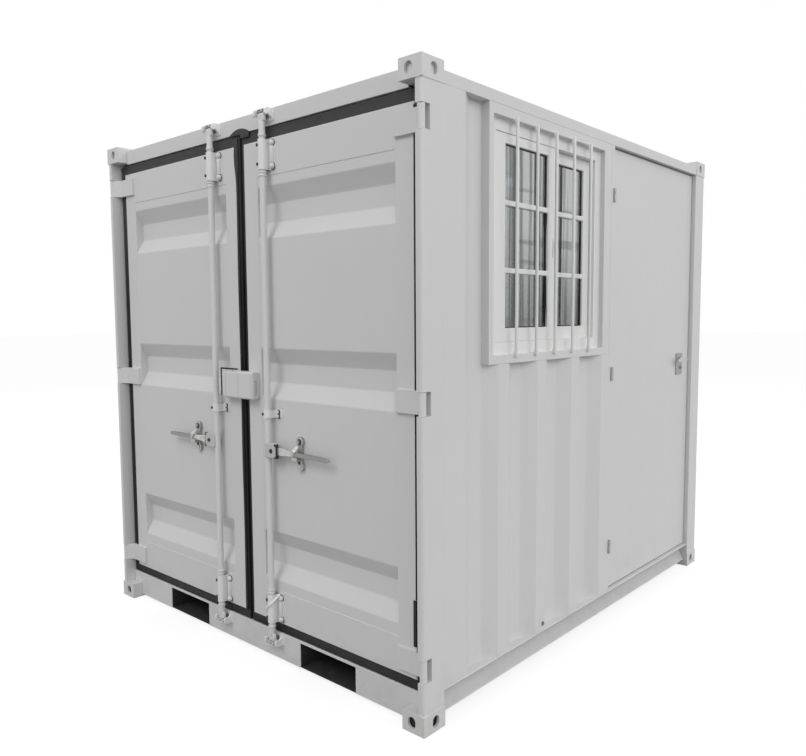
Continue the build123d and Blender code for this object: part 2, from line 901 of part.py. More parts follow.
def rod_keepers():
    """Four staples on header and sill, open to the front, that take the cams."""
    low = header_top - keeper_edge - keeper_height
    high = header_top - keeper_edge
    mouth = high - keeper_bridge
    outline = [
        (rod_x - keeper_half_width, low),
        (rod_x - keeper_mouth, low),
        (rod_x - keeper_mouth, mouth),
        (rod_x + keeper_mouth, mouth),
        (rod_x + keeper_mouth, low),
        (rod_x + keeper_half_width, low),
        (rod_x + keeper_half_width, high),
        (rod_x - keeper_half_width, high),
    ]
    top = prism(outline, "y", door_face - keeper_depth, door_face)
    corners = top.edges().filter_by(Axis.Y).group_by(Axis.Z)[-1]
    top = fillet(corners, keeper_bridge)
    drop = (low + high) / 2 + (sill_top - keeper_edge - keeper_height / 2)
    bottom = mirror(top, about=Plane.XY.offset(drop / 2))
    return [top, bottom, mirrored(top), mirrored(bottom)]


# --- Personnel door --------------------------------------------------------------------------


def side_door_frame():
    """Folded jambs and head behind the personnel door, with the lower hinge barrels welded on."""
    inner_x = jamb_face_x - jamb_depth
    front = [
        (inner_x, jamb_outer_y),
        (wall_x, jamb_outer_y),
        (wall_x, jamb_y),
        (jamb_face_x, jamb_y),
        (jamb_face_x, doorway_y0),
        (inner_x, doorway_y0),
    ]
    w = jamb_wall
    front_room = [
        (inner_x + w, jamb_outer_y + w),
        (wall_x - w, jamb_outer_y + w),
        (wall_x - w, jamb_y - w),
        (jamb_face_x - w, jamb_y - w),
        (jamb_face_x - w, doorway_y0 - w),
        (inner_x + w, doorway_y0 - w),
    ]
    z = (rail_top, top_rail_bottom)
    frame = prism(front, "z", *z) - prism(front_room, "z", *z)
    rear = block((inner_x, jamb_face_x), (doorway_y1, rear_post_y), z)
    rear -= block((inner_x + w, jamb_face_x - w), (doorway_y1 + w, rear_post_y - w), z)
    head = block((inner_x, jamb_face_x), (doorway_y0, doorway_y1), (doorway_top, doorway_top + w))
    head += block((jamb_face_x - w, jamb_face_x), (doorway_y0, doorway_y1), (doorway_top, top_rail_bottom))
    frame += rear + head
    frame -= block((inner_x, jamb_face_x), (jamb_outer_y, rear_post_y), (rail_top, floor_top))
    flap_x = (leaf_face_x - barrel_stand_off, barrel_x + barrel_radius)
    for level in door_hinge_levels:
        low, high = level - barrel_gap / 2 - barrel_height, level - barrel_gap / 2
        pin_top = high + barrel_gap + barrel_bore - rod_clearance
        frame += rod((barrel_x, barrel_y), "z", barrel_radius, low, high)
        frame += block(flap_x, (jamb_y, jamb_y + barrel_plate), (low, high))
        frame += rod((barrel_x, barrel_y), "z", barrel_pin_radius, high - join, pin_top)
    return frame


def side_door_leaf():
    """Steel tray with turned edges, level ribs behind the skin and its hinge barrels welded on."""
    x = (leaf_back_x, leaf_face_x)
    y = (leaf_y0, leaf_y1)
    z = (door_leaf_bottom, door_leaf_top)
    skin = door_leaf_skin
    inner = [(low + skin, high - skin) for low, high in (y, z)]
    leaf = block(x, y, z) - block((x[0], x[1] - skin), *inner)
    for n in range(door_rib_count):
        level = z[0] + (n + 1) * (z[1] - z[0]) / (door_rib_count + 1)
        leaf += block((x[0] + skin, x[1]), y, (level - skin / 2, level + skin / 2))
    for level in door_hinge_levels:
        low, high = level + barrel_gap / 2, level + barrel_gap / 2 + barrel_height
        flap_x = (leaf_face_x - skin, leaf_face_x + barrel_plate)
        leaf += rod((barrel_x, barrel_y), "z", barrel_radius, low, high)
        leaf += block(flap_x, (barrel_y, barrel_y + barrel_flap), (low, high))
        bore = barrel_pin_radius + running_fit
        leaf -= rod((barrel_x, barrel_y), "z", bore, low, low + barrel_bore)
    return leaf - rod((lever_y, lever_z), "x", spindle_radius + spindle_room, x[1] - 2 * skin, x[1])


def door_lock_plate():
    """Long plate under the lever."""
    z0 = lock_plate_rise - lock_plate[1] / 2
    x = (leaf_face_x, leaf_face_x + lock_plate[2])
    body = block(x, (plate_y1 - lock_plate[0], plate_y1), (z0, z0 + lock_plate[1]))
    body = fillet(body.edges().filter_by(Axis.X), lock_plate_corner)
    return body - rod((lever_y, lever_z), "x", spindle_radius + 2 * running_fit, *x)


def door_lever():
    """Lever on its spindle, pointing at the hinges."""
    plate_face = leaf_face_x + lock_plate[2]
    tip_x = leaf_face_x + lever_projection
    body = rod((lever_y, lever_z), "x", lever_boss_radius, plate_face + rod_clearance, tip_x)
    body += rod((lever_y, lever_z), "x", spindle_radius, leaf_face_x - join, tip_x)
    arm_z = (lever_z - lever_height / 2, lever_z + lever_height / 2)
    arm = block((tip_x - lever_thickness, tip_x), (lever_y - lever_length, lever_y), arm_z)
    arm = fillet(arm.edges().filter_by(Axis.X).group_by(Axis.Y)[0], lever_end_radius)
    return body + arm


# --- Nodes -----------------------------------------------------------------------------------


def build():
    """Every node of the cabin, as name to solids."""
    nodes = {
        "front_bottom_castings": front_castings(),
        "rear_bottom_castings": rear_castings(),
        "top_castings": top_castings(),
        "front_posts": [front_post(), mirrored(front_post())],
        "rear_posts": [rear_post(), mirrored(rear_post())],
        "door_header": door_header(),
        "door_sill": door_sill(),
        "rear_rails": rear_rails(),
        "top_side_rails": top_side_rails(),
        "bottom_side_rails": bottom_side_rails(),
        "fork_tunnels": fork_tunnels(),
        "floor_cross_members": cross_members(),
        "floor_board": floor_board(),
        "roof_panel": roof_panel(),
        "left_wall": left_wall(),
        "rear_wall": rear_wall(),
        "right_wall_front": right_wall_sheet(post_rear_y, surround_y0, top_rail_bottom),
        "right_wall_below_window": right_wall_sheet(surround_y0, jamb_outer_y, surround_bottom),
        "window_surround": window_surround(),
        "window_frame": window_frame(),
        "window_sashes": window_sashes(),
        "window_glass": window_glass(),
        "security_bars": security_bars(),
        "rod_keepers": rod_keepers(),
        "side_door_frame": side_door_frame(),
        "side_door_leaf": side_door_leaf(),
        "side_door_lock_plate": door_lock_plate(),
        "side_door_lever": door_lever(),
    }
    right = {
        "leaf_frame": leaf_frame(),
        "leaf_panel": leaf_panel(),
        "leaf_gasket": leaf_gasket(),
        "leaf_hinges": leaf_hinges(),
        "rod_guides": rod_guides(),
        "lock_box": lock_box(),
        "lock_rod": lock_rod(),
        "rod_handle": rod_handle(),
    }
    for name, pieces in right.items():
        several = pieces if isinstance(pieces, list) else [pieces]
        nodes["right_" + name] = several
        nodes["left_" + name] = [mirrored(piece) for piece in several]
    nodes["right_handle_catch"] = handle_catch()
    nodes["left_handle_catch"] = mirrored(handle_catch())
    return nodes


def save(name, pieces):
    """Write one node as a STEP file of its solids."""
    several = pieces if isinstance(pieces, list) else [pieces]
    solids = [solid for piece in several for solid in piece.solids()]
    export_step(Compound(children=solids), f"parts/{name}.step")


os.makedirs("parts", exist_ok=True)
for node_name, node_pieces in build().items():
    save(node_name, node_pieces)
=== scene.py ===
import bpy
import bmesh
import json
import math
import numpy as np
from mathutils import Matrix, Vector


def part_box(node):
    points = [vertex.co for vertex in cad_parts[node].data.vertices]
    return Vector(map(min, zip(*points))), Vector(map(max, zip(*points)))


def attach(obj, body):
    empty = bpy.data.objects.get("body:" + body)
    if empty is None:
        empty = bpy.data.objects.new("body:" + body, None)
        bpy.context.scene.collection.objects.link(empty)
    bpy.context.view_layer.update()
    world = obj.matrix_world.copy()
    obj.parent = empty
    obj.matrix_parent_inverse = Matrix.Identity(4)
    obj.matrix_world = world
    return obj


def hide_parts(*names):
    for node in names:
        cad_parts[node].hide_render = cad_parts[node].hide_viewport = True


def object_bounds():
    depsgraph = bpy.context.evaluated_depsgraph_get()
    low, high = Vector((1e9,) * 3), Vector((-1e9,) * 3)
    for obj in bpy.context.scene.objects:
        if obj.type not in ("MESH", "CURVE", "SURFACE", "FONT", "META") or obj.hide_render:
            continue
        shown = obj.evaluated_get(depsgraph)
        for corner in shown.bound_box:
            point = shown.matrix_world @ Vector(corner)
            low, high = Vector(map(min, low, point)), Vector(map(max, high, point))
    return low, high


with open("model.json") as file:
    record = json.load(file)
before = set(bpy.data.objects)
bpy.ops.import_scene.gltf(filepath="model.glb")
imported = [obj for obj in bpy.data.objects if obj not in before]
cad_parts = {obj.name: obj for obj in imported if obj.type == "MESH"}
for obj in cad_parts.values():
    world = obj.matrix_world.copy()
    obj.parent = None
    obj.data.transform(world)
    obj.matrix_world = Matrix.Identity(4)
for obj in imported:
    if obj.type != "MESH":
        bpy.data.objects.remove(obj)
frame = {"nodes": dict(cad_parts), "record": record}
cad_low, cad_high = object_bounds()


# Studio: a white floor that keeps the cabin's shadow, a white world that is brighter on the right,
# and broad soft lamps, high up, so that the long side is lighter than the cargo door end.
class Value:
    """A socket of a material on which sums are written as plain arithmetic."""

    def __init__(self, finish, socket):
        self.finish, self.socket = finish, socket

    def sum(self, operation, first, second=0.0, clamp=False):
        return self.finish.node(
            "ShaderNodeMath", {"operation": operation, "use_clamp": clamp}, {0: first, 1: second}
        )

    def __add__(self, other):
        return self.sum("ADD", self, other)

    def __sub__(self, other):
        return self.sum("SUBTRACT", self, other)

    def __rsub__(self, other):
        return self.sum("SUBTRACT", other, self)

    def __mul__(self, other):
        return self.sum("MULTIPLY", self, other)

    def __truediv__(self, other):
        return self.sum("DIVIDE", self, other)

    __radd__, __rmul__ = __add__, __mul__

    def above(self, low, high):
        """0 below low, 1 above high, a straight slope between."""
        return self.sum("MULTIPLY", self - low, 1.0 / (high - low), clamp=True)

    def clamped(self):
        return self.sum("MULTIPLY", self, 1.0, clamp=True)

    def alone(self, operation):
        """A sum that takes one number only, such as the size without its sign."""
        return self.sum(operation, self)


class Finish:
    """A material, or the world, made of nodes that are read in the object's own coordinates."""

    def __init__(self, name, kind=bpy.data.materials):
        self.material = kind.new(name)
        self.material.use_nodes = True
        self.tree = self.material.node_tree
        self.tree.nodes.clear()
        self.place = self.node("ShaderNodeTexCoord", output="Object")

    def node(self, kind, settings=None, values=None, output=0):
        """One node: its settings first, then the numbers or links of its sockets."""
        made = self.tree.nodes.new(kind)
        for name, value in (settings or {}).items():
            setattr(made, name, value)
        for name, value in (values or {}).items():
            if isinstance(value, Value):
                self.tree.links.new(value.socket, made.inputs[name])
            else:
                made.inputs[name].default_value = value
        return Value(self, made.outputs[output]) if made.outputs else None

    def stretched(self, scale):
        """The object's coordinates multiplied on each axis."""
        return self.node("ShaderNodeMapping", None, {"Vector": self.place, "Scale": scale})

    def noise(self, scale, detail=3.0, roughness=0.5, stretch=None):
        where = self.stretched(stretch) if stretch else self.place
        values = {"Vector": where, "Scale": scale, "Detail": detail, "Roughness": roughness}
        return self.node("ShaderNodeTexNoise", None, values)

    def axis(self, name):
        return self.node("ShaderNodeSeparateXYZ", None, {0: self.place}, name)

    def mixed(self, mask, first, second):
        """The first colour where the mask is 0, the second where it is 1."""
        colours = [(*c, 1.0) if isinstance(c, tuple) and len(c) == 3 else c for c in (first, second)]
        settings = {"data_type": "RGBA"}
        return self.node("ShaderNodeMix", settings, {0: mask, 6: colours[0], 7: colours[1]}, 2)

    def tinted(self, colour, factor):
        """A colour, darkened or lightened by a factor that changes over the surface."""
        grey = self.node("ShaderNodeCombineColor", None, {0: factor, 1: factor, 2: factor})
        settings = {"data_type": "RGBA", "blend_type": "MULTIPLY"}
        first = (*colour, 1.0) if isinstance(colour, tuple) else colour
        return self.node("ShaderNodeMix", settings, {0: 1.0, 6: first, 7: grey}, 2)

    def bump(self, height, distance, strength):
        values = {"Height": height, "Distance": distance, "Strength": strength}
        return self.node("ShaderNodeBump", None, values)

    def seen(self):
        """1 for what the camera sees, also in a mirror and through glass, and 0 for the light that falls."""
        seen = self.node("ShaderNodeLightPath", output="Is Camera Ray")
        for ray in ("Is Glossy Ray", "Is Transmission Ray"):
            seen = seen + self.node("ShaderNodeLightPath", output=ray)
        return seen.clamped()

    def shaded(self, **values):
        """Principled shader with these sockets, wired to the output."""
        named = {name.replace("_", " "): value for name, value in values.items()}
        shader = self.node("ShaderNodeBsdfPrincipled", None, named)
        self.node("ShaderNodeOutputMaterial", None, {"Surface": shader})
        return self.material


def put_mesh(name, points, faces, finish, smooth=0.0):
    """A mesh object from points and faces. Edges under the angle smooth, in degrees, are shaded round."""
    mesh = bpy.data.meshes.new(name)
    mesh.from_pydata([tuple(map(float, p)) for p in points], [], [tuple(map(int, f)) for f in faces])
    mesh.materials.append(finish)
    if smooth:
        mesh.shade_smooth()
        mesh.set_sharp_from_angle(angle=math.radians(smooth))
    piece = bpy.data.objects.new(name, mesh)
    bpy.context.scene.collection.objects.link(piece)
    return piece


floor_paper = Finish("studio_floor")
WHITE = (1.0, 1.0, 1.0, 1.0)
paper = floor_paper.node("ShaderNodeBsdfDiffuse", None, {"Color": (0.24, 0.24, 0.24, 1)})
paper_glow = floor_paper.node("ShaderNodeEmission", None, {"Color": WHITE, "Strength": 0.82})
seen_paper = floor_paper.node("ShaderNodeAddShader", None, {0: paper, 1: paper_glow})
floor_mix = floor_paper.node("ShaderNodeMixShader", None, {0: floor_paper.seen(), 1: paper, 2: seen_paper})
floor_paper.node("ShaderNodeOutputMaterial", None, {"Surface": floor_mix})
FLOOR_REACH, FLOOR_CELLS = 60.0, 8
ROW = FLOOR_CELLS + 1
floor_grid = np.linspace(-FLOOR_REACH, FLOOR_REACH, ROW)
floor_points = [(x, y, -0.001) for y in floor_grid for x in floor_grid]
first_corners = [r * ROW + c for r in range(FLOOR_CELLS) for c in range(FLOOR_CELLS)]
floor_faces = [(k, k + 1, k + ROW + 1, k + ROW) for k in first_corners]
studio_floor = put_mesh("studio_floor", floor_points, floor_faces, floor_paper.material)

sky = Finish("studio_world", bpy.data.worlds)
bpy.context.scene.world = sky.material
slant = sky.axis("X") * 0.42 + 0.66
light = sky.node("ShaderNodeBackground", None, {"Color": WHITE, "Strength": slant})
white = sky.node("ShaderNodeBackground", None, {"Color": WHITE, "Strength": 1.0})
sky_mix = sky.node("ShaderNodeMixShader", None, {0: sky.seen(), 1: light, 2: white})
sky.node("ShaderNodeOutputWorld", None, {"Surface": sky_mix})


def soft_lamp(name, place, aim, size, power):
    """A square area lamp at a place, turned to face a point."""
    lamp = bpy.data.lights.new(name, "AREA")
    lamp.shape, lamp.size, lamp.energy = "SQUARE", size, power
    holder = bpy.data.objects.new(name, lamp)
    holder.rotation_euler = (Vector(aim) - Vector(place)).to_track_quat("-Z", "Y").to_euler()
    holder.location = place
    bpy.context.scene.collection.objects.link(holder)
    return holder


soft_lamp("side_lamp", (9.5, 0.0, 6.2), (1.0, 0.2, 1.1), 6.0, 225.0)
soft_lamp("front_lamp", (-0.7, -8.0, 8.2), (0.0, -1.2, 1.1), 4.6, 290.0)
soft_lamp("far_lamp", (-7.0, 6.0, 6.0), (0.0, 0.0, 1.2), 6.0, 220.0)
soft_lamp("room_lamp", (-0.1, 0.1, 2.15), (-0.1, 0.1, 0.0), 0.9, 9.0)

CAMERA_PLACE = (2.589, -3.072, 1.431)
CAMERA_AZIMUTH, CAMERA_RISE, CAMERA_ROLL = (math.radians(a) for a in (41.76, 4.74, -0.37))
back = Vector((
    math.sin(CAMERA_AZIMUTH) * math.cos(CAMERA_RISE),
    -math.cos(CAMERA_AZIMUTH) * math.cos(CAMERA_RISE),
    math.sin(CAMERA_RISE),
))
level = Vector((math.cos(CAMERA_AZIMUTH), math.sin(CAMERA_AZIMUTH), 0.0))
upright = back.cross(level)
right = math.cos(CAMERA_ROLL) * level + math.sin(CAMERA_ROLL) * upright
up = -math.sin(CAMERA_ROLL) * level + math.cos(CAMERA_ROLL) * upright
lens = bpy.data.cameras.new("camera")
lens.sensor_fit, lens.sensor_width, lens.lens = "HORIZONTAL", 36.0, 33.40
camera = bpy.data.objects.new("camera", lens)
camera.matrix_world = Matrix.Translation(CAMERA_PLACE) @ Matrix((right, up, back)).transposed().to_4x4()
bpy.context.scene.collection.objects.link(camera)
bpy.context.scene.camera = camera
bpy.context.scene.view_settings.view_transform = "Standard"




# Corner castings: eight hollow blocks of cast steel that carry the cabin when it is lifted or stacked.
# They are welded to the ends of the posts and rails and sprayed with the same grey-white enamel,
# so the grain of the casting still shows through the paint.
NODES = frame["nodes"]
BODIES = frame["record"]["behaviour"]["bodies"]
BODY = {node: body for body, members in BODIES.items() for node in members}


def enamel(name, tone=0.668, peel=1.0, grain=0.0, gloss=0.42):
    """Sprayed enamel: slow drift of tone, upright streaks, orange peel, grime low down and cast grain."""
    paint = Finish(name)
    drift = 0.955 + 0.06 * paint.noise(1.3, 4.0) + 0.03 * paint.noise(5.0, 3.0, 0.6, (5.0, 5.0, 0.35))
    low_down = 1.0 - paint.axis("Z").above(0.02, 0.32)
    patches = paint.noise(9.0, 6.0, 0.65).above(0.46, 0.66)
    specks = paint.noise(38.0, 5.0, 0.7).above(0.68, 0.78) * 0.05
    grime = (low_down * patches * 0.20 + specks).clamped()
    toned = paint.mixed(grime, paint.tinted((tone, tone, tone), drift), (0.33, 0.31, 0.28))
    height = paint.noise(300.0, 2.0) * 0.6 * peel + paint.noise(55.0, 2.0) * 0.4 * peel
    if grain:
        height = height + paint.noise(130.0, 6.0, 0.7) * grain
    scuffs = paint.noise(120.0, 2.0, 0.5, (1.0, 1.0, 0.08)).above(0.66, 0.72) * 0.12
    rough = gloss - 0.06 + 0.14 * paint.noise(12.0, 5.0, 0.6) + 0.30 * grime + scuffs
    return paint.shaded(Base_Color=toned, Roughness=rough, Normal=paint.bump(height, 0.0005, 0.32))


def edges_rounded(piece, radius, segments, angle, merged):
    """Rounds the edges sharper than the angle off by the radius. Flat faces stay flat in the shading, and
    points that the rounding laid on each other are merged if asked."""
    bevel = piece.modifiers.new("rounded_edges", "BEVEL")
    bevel.width, bevel.segments, bevel.limit_method = radius, segments, "ANGLE"
    bevel.angle_limit, bevel.harden_normals = math.radians(angle), False
    if merged:
        piece.modifiers.new("doubled_points_merged", "WELD").merge_threshold = 2e-6
    flatten = piece.modifiers.new("flat_faces_stay_flat", "WEIGHTED_NORMAL")
    flatten.mode, flatten.weight, flatten.keep_sharp = "FACE_AREA", 100, True
    piece.data.shade_smooth()
    return piece


def shell_of(node, radius, finish, angle=15.0, segments=2):
    """The CAD node's shell, merged, with every edge sharper than the angle rounded off by the radius."""
    NODES[node].data.materials.clear()
    NODES[node].data.materials.append(finish)
    mesh = NODES[node].data.copy()
    shell = bmesh.new()
    shell.from_mesh(mesh)
    bmesh.ops.remove_doubles(shell, verts=shell.verts, dist=3e-6)
    bmesh.ops.dissolve_limit(shell, angle_limit=math.radians(0.3), verts=shell.verts, edges=shell.edges)
    shell.to_mesh(mesh)
    shell.free()
    piece = bpy.data.objects.new(node + "_shell", mesh)
    bpy.context.scene.collection.objects.link(piece)
    edges_rounded(piece, radius, segments, angle, merged=True)
    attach(piece, BODY[node])
    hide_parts(node)
    return piece


cast_paint = enamel("cast_enamel", grain=1.6, gloss=0.46)
for node in ("front_bottom_castings", "rear_bottom_castings", "top_castings"):
    shell_of(node, 0.0045, cast_paint, angle=32.0, segments=3)


# Welds: the arc-welded seams that join castings, posts, rails and fittings, painted over.
# Each is a half-round bead with the fine ripple that the welder's hand leaves.
def outward(axis):
    """Two unit vectors square to an axis."""
    axis = np.array(axis, float) / np.linalg.norm(axis)
    helper = np.array([0.0, 0.0, 1.0]) if abs(axis[2]) < 0.9 else np.array([1.0, 0.0, 0.0])
    side = np.cross(helper, axis)
    side /= np.linalg.norm(side)
    return side, np.cross(axis, side)


def skin(rows, loop=False):
    """Faces between rings of points, one ring a row: the last ring joins the first when loop is set, and
    otherwise both ends are closed."""
    rows = np.asarray(rows, float)
    count, ring = rows.shape[:2]
    a, b = np.meshgrid(np.arange(count if loop else count - 1), np.arange(ring), indexing="ij")
    ahead, beside = (a + 1) % count, (b + 1) % ring
    corners = (a * ring + b, a * ring + beside, ahead * ring + beside, ahead * ring + b)
    faces = np.stack(corners, -1).reshape(-1, 4).tolist()
    if not loop:
        faces.append(list(range(ring))[::-1])
        faces.append([(count - 1) * ring + k for k in range(ring)])
    return rows.reshape(-1, 3), faces


def swept(outline, path, up=None, turns=None, scales=None):
    """An outline of (side, up) points carried along a path, mitred at corners. It may turn and shrink."""
    path, outline = np.asarray(path, float), np.asarray(outline, float)
    steps = np.diff(path, axis=0)
    steps /= np.linalg.norm(steps, axis=1)[:, None]
    along = np.vstack([steps[:1], steps[:-1] + steps[1:], steps[-1:]])
    along /= np.linalg.norm(along, axis=1)[:, None]
    up = np.asarray(up if up is not None else outward(steps[0])[1], float)
    side = np.cross(along, up)
    side /= np.linalg.norm(side, axis=1)[:, None]
    lift = np.cross(side, along)
    stretch = 1.0 / np.clip((along * np.vstack([steps[:1], steps])).sum(1), 0.4, 1.0)
    turn = np.zeros(len(path)) if turns is None else np.asarray(turns)
    size = np.ones((len(path), 2)) if scales is None else np.asarray(scales)
    u = outline[None, :, 0] * size[:, :1]
    v = outline[None, :, 1] * size[:, 1:]
    s = (u * np.cos(turn)[:, None] - v * np.sin(turn)[:, None]) * stretch[:, None]
    t = u * np.sin(turn)[:, None] + v * np.cos(turn)[:, None]
    rows = path[:, None, :] + s[..., None] * side[:, None, :] + t[..., None] * lift[:, None, :]
    return skin(rows)


def gathered(name, parts, finish, body="cabin", smooth=40.0):
    """One piece made of several (points, faces) shells with faces turned outwards, riding on a body."""
    points, faces, start = [], [], 0
    for shell_points, shell_faces in parts:
        points.append(np.asarray(shell_points))
        faces += [[start + k for k in face] for face in shell_faces]
        start += len(shell_points)
    piece = put_mesh(name, np.vstack(points), faces, finish, smooth)
    shell = bmesh.new()
    shell.from_mesh(piece.data)
    bmesh.ops.recalc_face_normals(shell, faces=shell.faces)
    shell.to_mesh(piece.data)
    shell.free()
    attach(piece, body)
    return piece


def weld(start, end, radius=0.004):
    """Bead along a straight seam: a ring whose radius ripples along the seam, tapered at both ends."""
    start, end = np.array(start), np.array(end)
    reach = np.linalg.norm(end - start)
    count = int(np.clip(reach / 0.006, 6, 150))
    t = np.linspace(0.0, 1.0, count)
    radii = radius * (1.0 + 0.16 * np.sin(t * count * 2.1) + 0.07 * np.sin(t * count * 0.37))
    radii[0] = radii[-1] = radius * 0.25
    side, lift = outward(end - start)
    around = np.linspace(0.0, 2 * np.pi, 8, endpoint=False)
    ring = np.cos(around)[:, None] * side + np.sin(around)[:, None] * lift
    path = start + t[:, None] * (end - start)
    return skin(path[:, None, :] + radii[:, None, None] * ring[None])


def plate(corner, opposite):
    """The six faces of a box between two opposite corners."""
    x, y, z = (sorted(pair) for pair in zip(corner, opposite))
    ring = [(x[0], y[0]), (x[1], y[0]), (x[1], y[1]), (x[0], y[1])]
    return skin([[(a, b, level) for a, b in ring] for level in z])


def edged(piece, radius, segments=2):
    """Rounds the edges of a finished piece."""
    return edges_rounded(piece, radius, segments, 35.0, merged=False)


post_low, post_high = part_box("front_posts")
rear_low, rear_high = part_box("rear_posts")
BAR_WIDE, REAR_POST_WIDE, CORNER_FREE, BEAD = 0.028, 0.090, 0.008, 0.0022
frame_welds = []
for z in (post_low.z, post_high.z):
    for side in (-1, 1):
        x_out, x_in, rear_x = side * post_high.x, side * (post_high.x - BAR_WIDE), side * rear_high.x
        frame_welds.append(weld((x_in, post_low.y, z), (x_out - side * CORNER_FREE, post_low.y, z), 0.0030))
        for start, end in (
            ((x_out, post_low.y + CORNER_FREE), (x_out, post_high.y)),
            ((rear_x, rear_low.y), (rear_x, rear_high.y)),
            ((side * (rear_high.x - REAR_POST_WIDE), rear_high.y), (rear_x, rear_high.y)),
        ):
            frame_welds.append(weld((*start, z), (*end, z), BEAD))
gathered("frame_welds", frame_welds, cast_paint)


# Posts: the front ones are bars of thick steel plate with a notch at each hinge, a pin welded across each
# notch, and a thin web behind the leaf. The rear ones are square tube. All are welded to the castings.
post_paint = enamel("post_enamel", peel=1.1)
shell_of("front_posts", 0.0028, post_paint, segments=3)
shell_of("rear_posts", 0.0060, post_paint, segments=3)


# Header and sill of the cargo doorway, and the rails: pressed channels and box section, seam-welded
# to the castings, with edges rolled to a few millimetres.
rail_paint = enamel("rail_enamel", peel=0.9)
for node in ("door_header", "rear_rails", "top_side_rails"):
    shell_of(node, 0.0045, rail_paint, segments=3)
for node in ("door_sill", "bottom_side_rails"):
    shell_of(node, 0.0020, rail_paint, segments=2)


# Closing plates: strips of sheet steel that close the channel of each bottom side rail at a slant.
# They are welded to the rail; their darker enamel is painted shade for the shadow under the sheet of the wall.
channel_low, channel_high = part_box("bottom_side_rails")
WEB_X, SLANT_TOP, SLANT_FOOT = 0.9575, 0.112, (0.9965, 0.0385)
slant_ring = [(WEB_X, SLANT_TOP), (WEB_X + 0.003, SLANT_TOP + 0.002)]
slant_ring += [(SLANT_FOOT[0] + 0.002, SLANT_FOOT[1] + 0.001), SLANT_FOOT]
slants = []
for side in (-1, 1):
    ends = (channel_low.y + 0.004, channel_high.y - 0.004)
    slants.append(skin([[(side * x, y, z) for x, z in slant_ring] for y in ends]))
# Darker enamel: painted shade, for the shadow that the wall's sheet casts on the plates.
rail_shadow_paint = enamel("shade_enamel", 0.545, peel=0.9)
gathered("rail_closing_plates", slants, rail_shadow_paint)


# Underframe: fork tunnels and cross members in rough dark-grey chassis paint, gritty from the road. The
# tunnels have a floor of thin plate, and the lower castings a web in the dark chassis paint behind their holes,
# as painted shade in the hollow.
def chassis(name):
    """Matt chassis paint with grit and a haze of dust."""
    paint = Finish(name)
    drift = 0.75 + 0.4 * paint.noise(4.0, 5.0, 0.65)
    dust = paint.noise(22.0, 6.0, 0.7).above(0.52, 0.72) * 0.35
    toned = paint.mixed(dust, paint.tinted((0.020, 0.021, 0.021), drift), (0.085, 0.080, 0.072))
    grit = paint.noise(420.0, 4.0, 0.7) + paint.noise(90.0, 3.0) * 0.6
    rough = 0.74 + 0.16 * paint.noise(30.0)
    return paint.shaded(Base_Color=toned, Roughness=rough, Normal=paint.bump(grit, 0.0011, 0.5))


chassis_paint = chassis("chassis_paint")
for node in ("fork_tunnels", "floor_cross_members"):
    shell_of(node, 0.0012, chassis_paint)
sill_low, tunnel_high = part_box("door_sill")[0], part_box("fork_tunnels")[1]
POCKET_INNER, POCKET_OUTER, TRAY_THICK, LIP_THICK, LIP_TALL = 0.3225, 0.6395, 0.003, 0.002, 0.040
floor_and_shade_plates, light_plates = [], []
for side in (-1, 1):
    x0, x1 = sorted((side * POCKET_INNER, side * POCKET_OUTER))
    y0, y1, z = sill_low.y + 0.003, tunnel_high.y, sill_low.z + 0.0005
    floor_and_shade_plates.append(plate((x0, y0, z), (x1, y1, z + TRAY_THICK)))
    for edge in (x0, x1 - LIP_THICK):
        floor_and_shade_plates.append(plate((edge, y0, z + 0.001), (edge + LIP_THICK, y1, z + LIP_TALL)))
# The lower castings' webs take the dark chassis paint as painted shade in their holes; the top castings' webs
# keep the castings' own enamel.
for node, plates, behind, ends in (
    ("front_bottom_castings", floor_and_shade_plates, 0.017, (-1,)),
    ("rear_bottom_castings", floor_and_shade_plates, 0.017, (1,)),
    ("top_castings", light_plates, 0.0125, (-1, 1)),
):
    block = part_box(node)[1]
    for side in (-1, 1):
        for end in ends:
            inner = (side * (block.x - 0.086), end * (cad_high.y - 0.096), block.z - 0.060)
            outer = (side * (block.x - behind), end * (cad_high.y - behind), block.z - 0.012)
            plates.append(plate(inner, outer))
gathered("pocket_floors", floor_and_shade_plates, chassis_paint)
gathered("casting_webs", light_plates, cast_paint)


# Floor: sheets of varnished plywood, 28 mm thick, screwed down to the cross members.
# The face grain runs along the cabin; the sheets butt across it.
def plywood():
    """Rings drawn out along the length, pores, a joint every 1.22 m and a worn varnish."""
    wood = Finish("varnished_plywood")
    rings = (wood.noise(1.3, 4.0, 0.5, (9.0, 0.55, 9.0)) * 26.0).alone("FRACT")
    pores = wood.noise(220.0, 3.0, 0.6, (1.0, 0.06, 1.0))
    figure = (rings * 0.6 + pores * 0.4).clamped()
    toned = wood.mixed(figure, (0.30, 0.17, 0.085), (0.47, 0.30, 0.165))
    along = (wood.axis("Y") / 1.22 + 0.5).alone("FRACT")
    joint = 1.0 - (along - 0.5).alone("ABSOLUTE").above(0.0005, 0.0018)
    toned = wood.mixed(joint, toned, (0.06, 0.04, 0.025))
    rough = 0.30 + 0.35 * wood.noise(3.0, 5.0, 0.6)
    return wood.shaded(Base_Color=toned, Roughness=rough, Normal=wood.bump(figure - joint * 2.0, 0.0006, 0.5))


shell_of("floor_board", 0.0015, plywood())


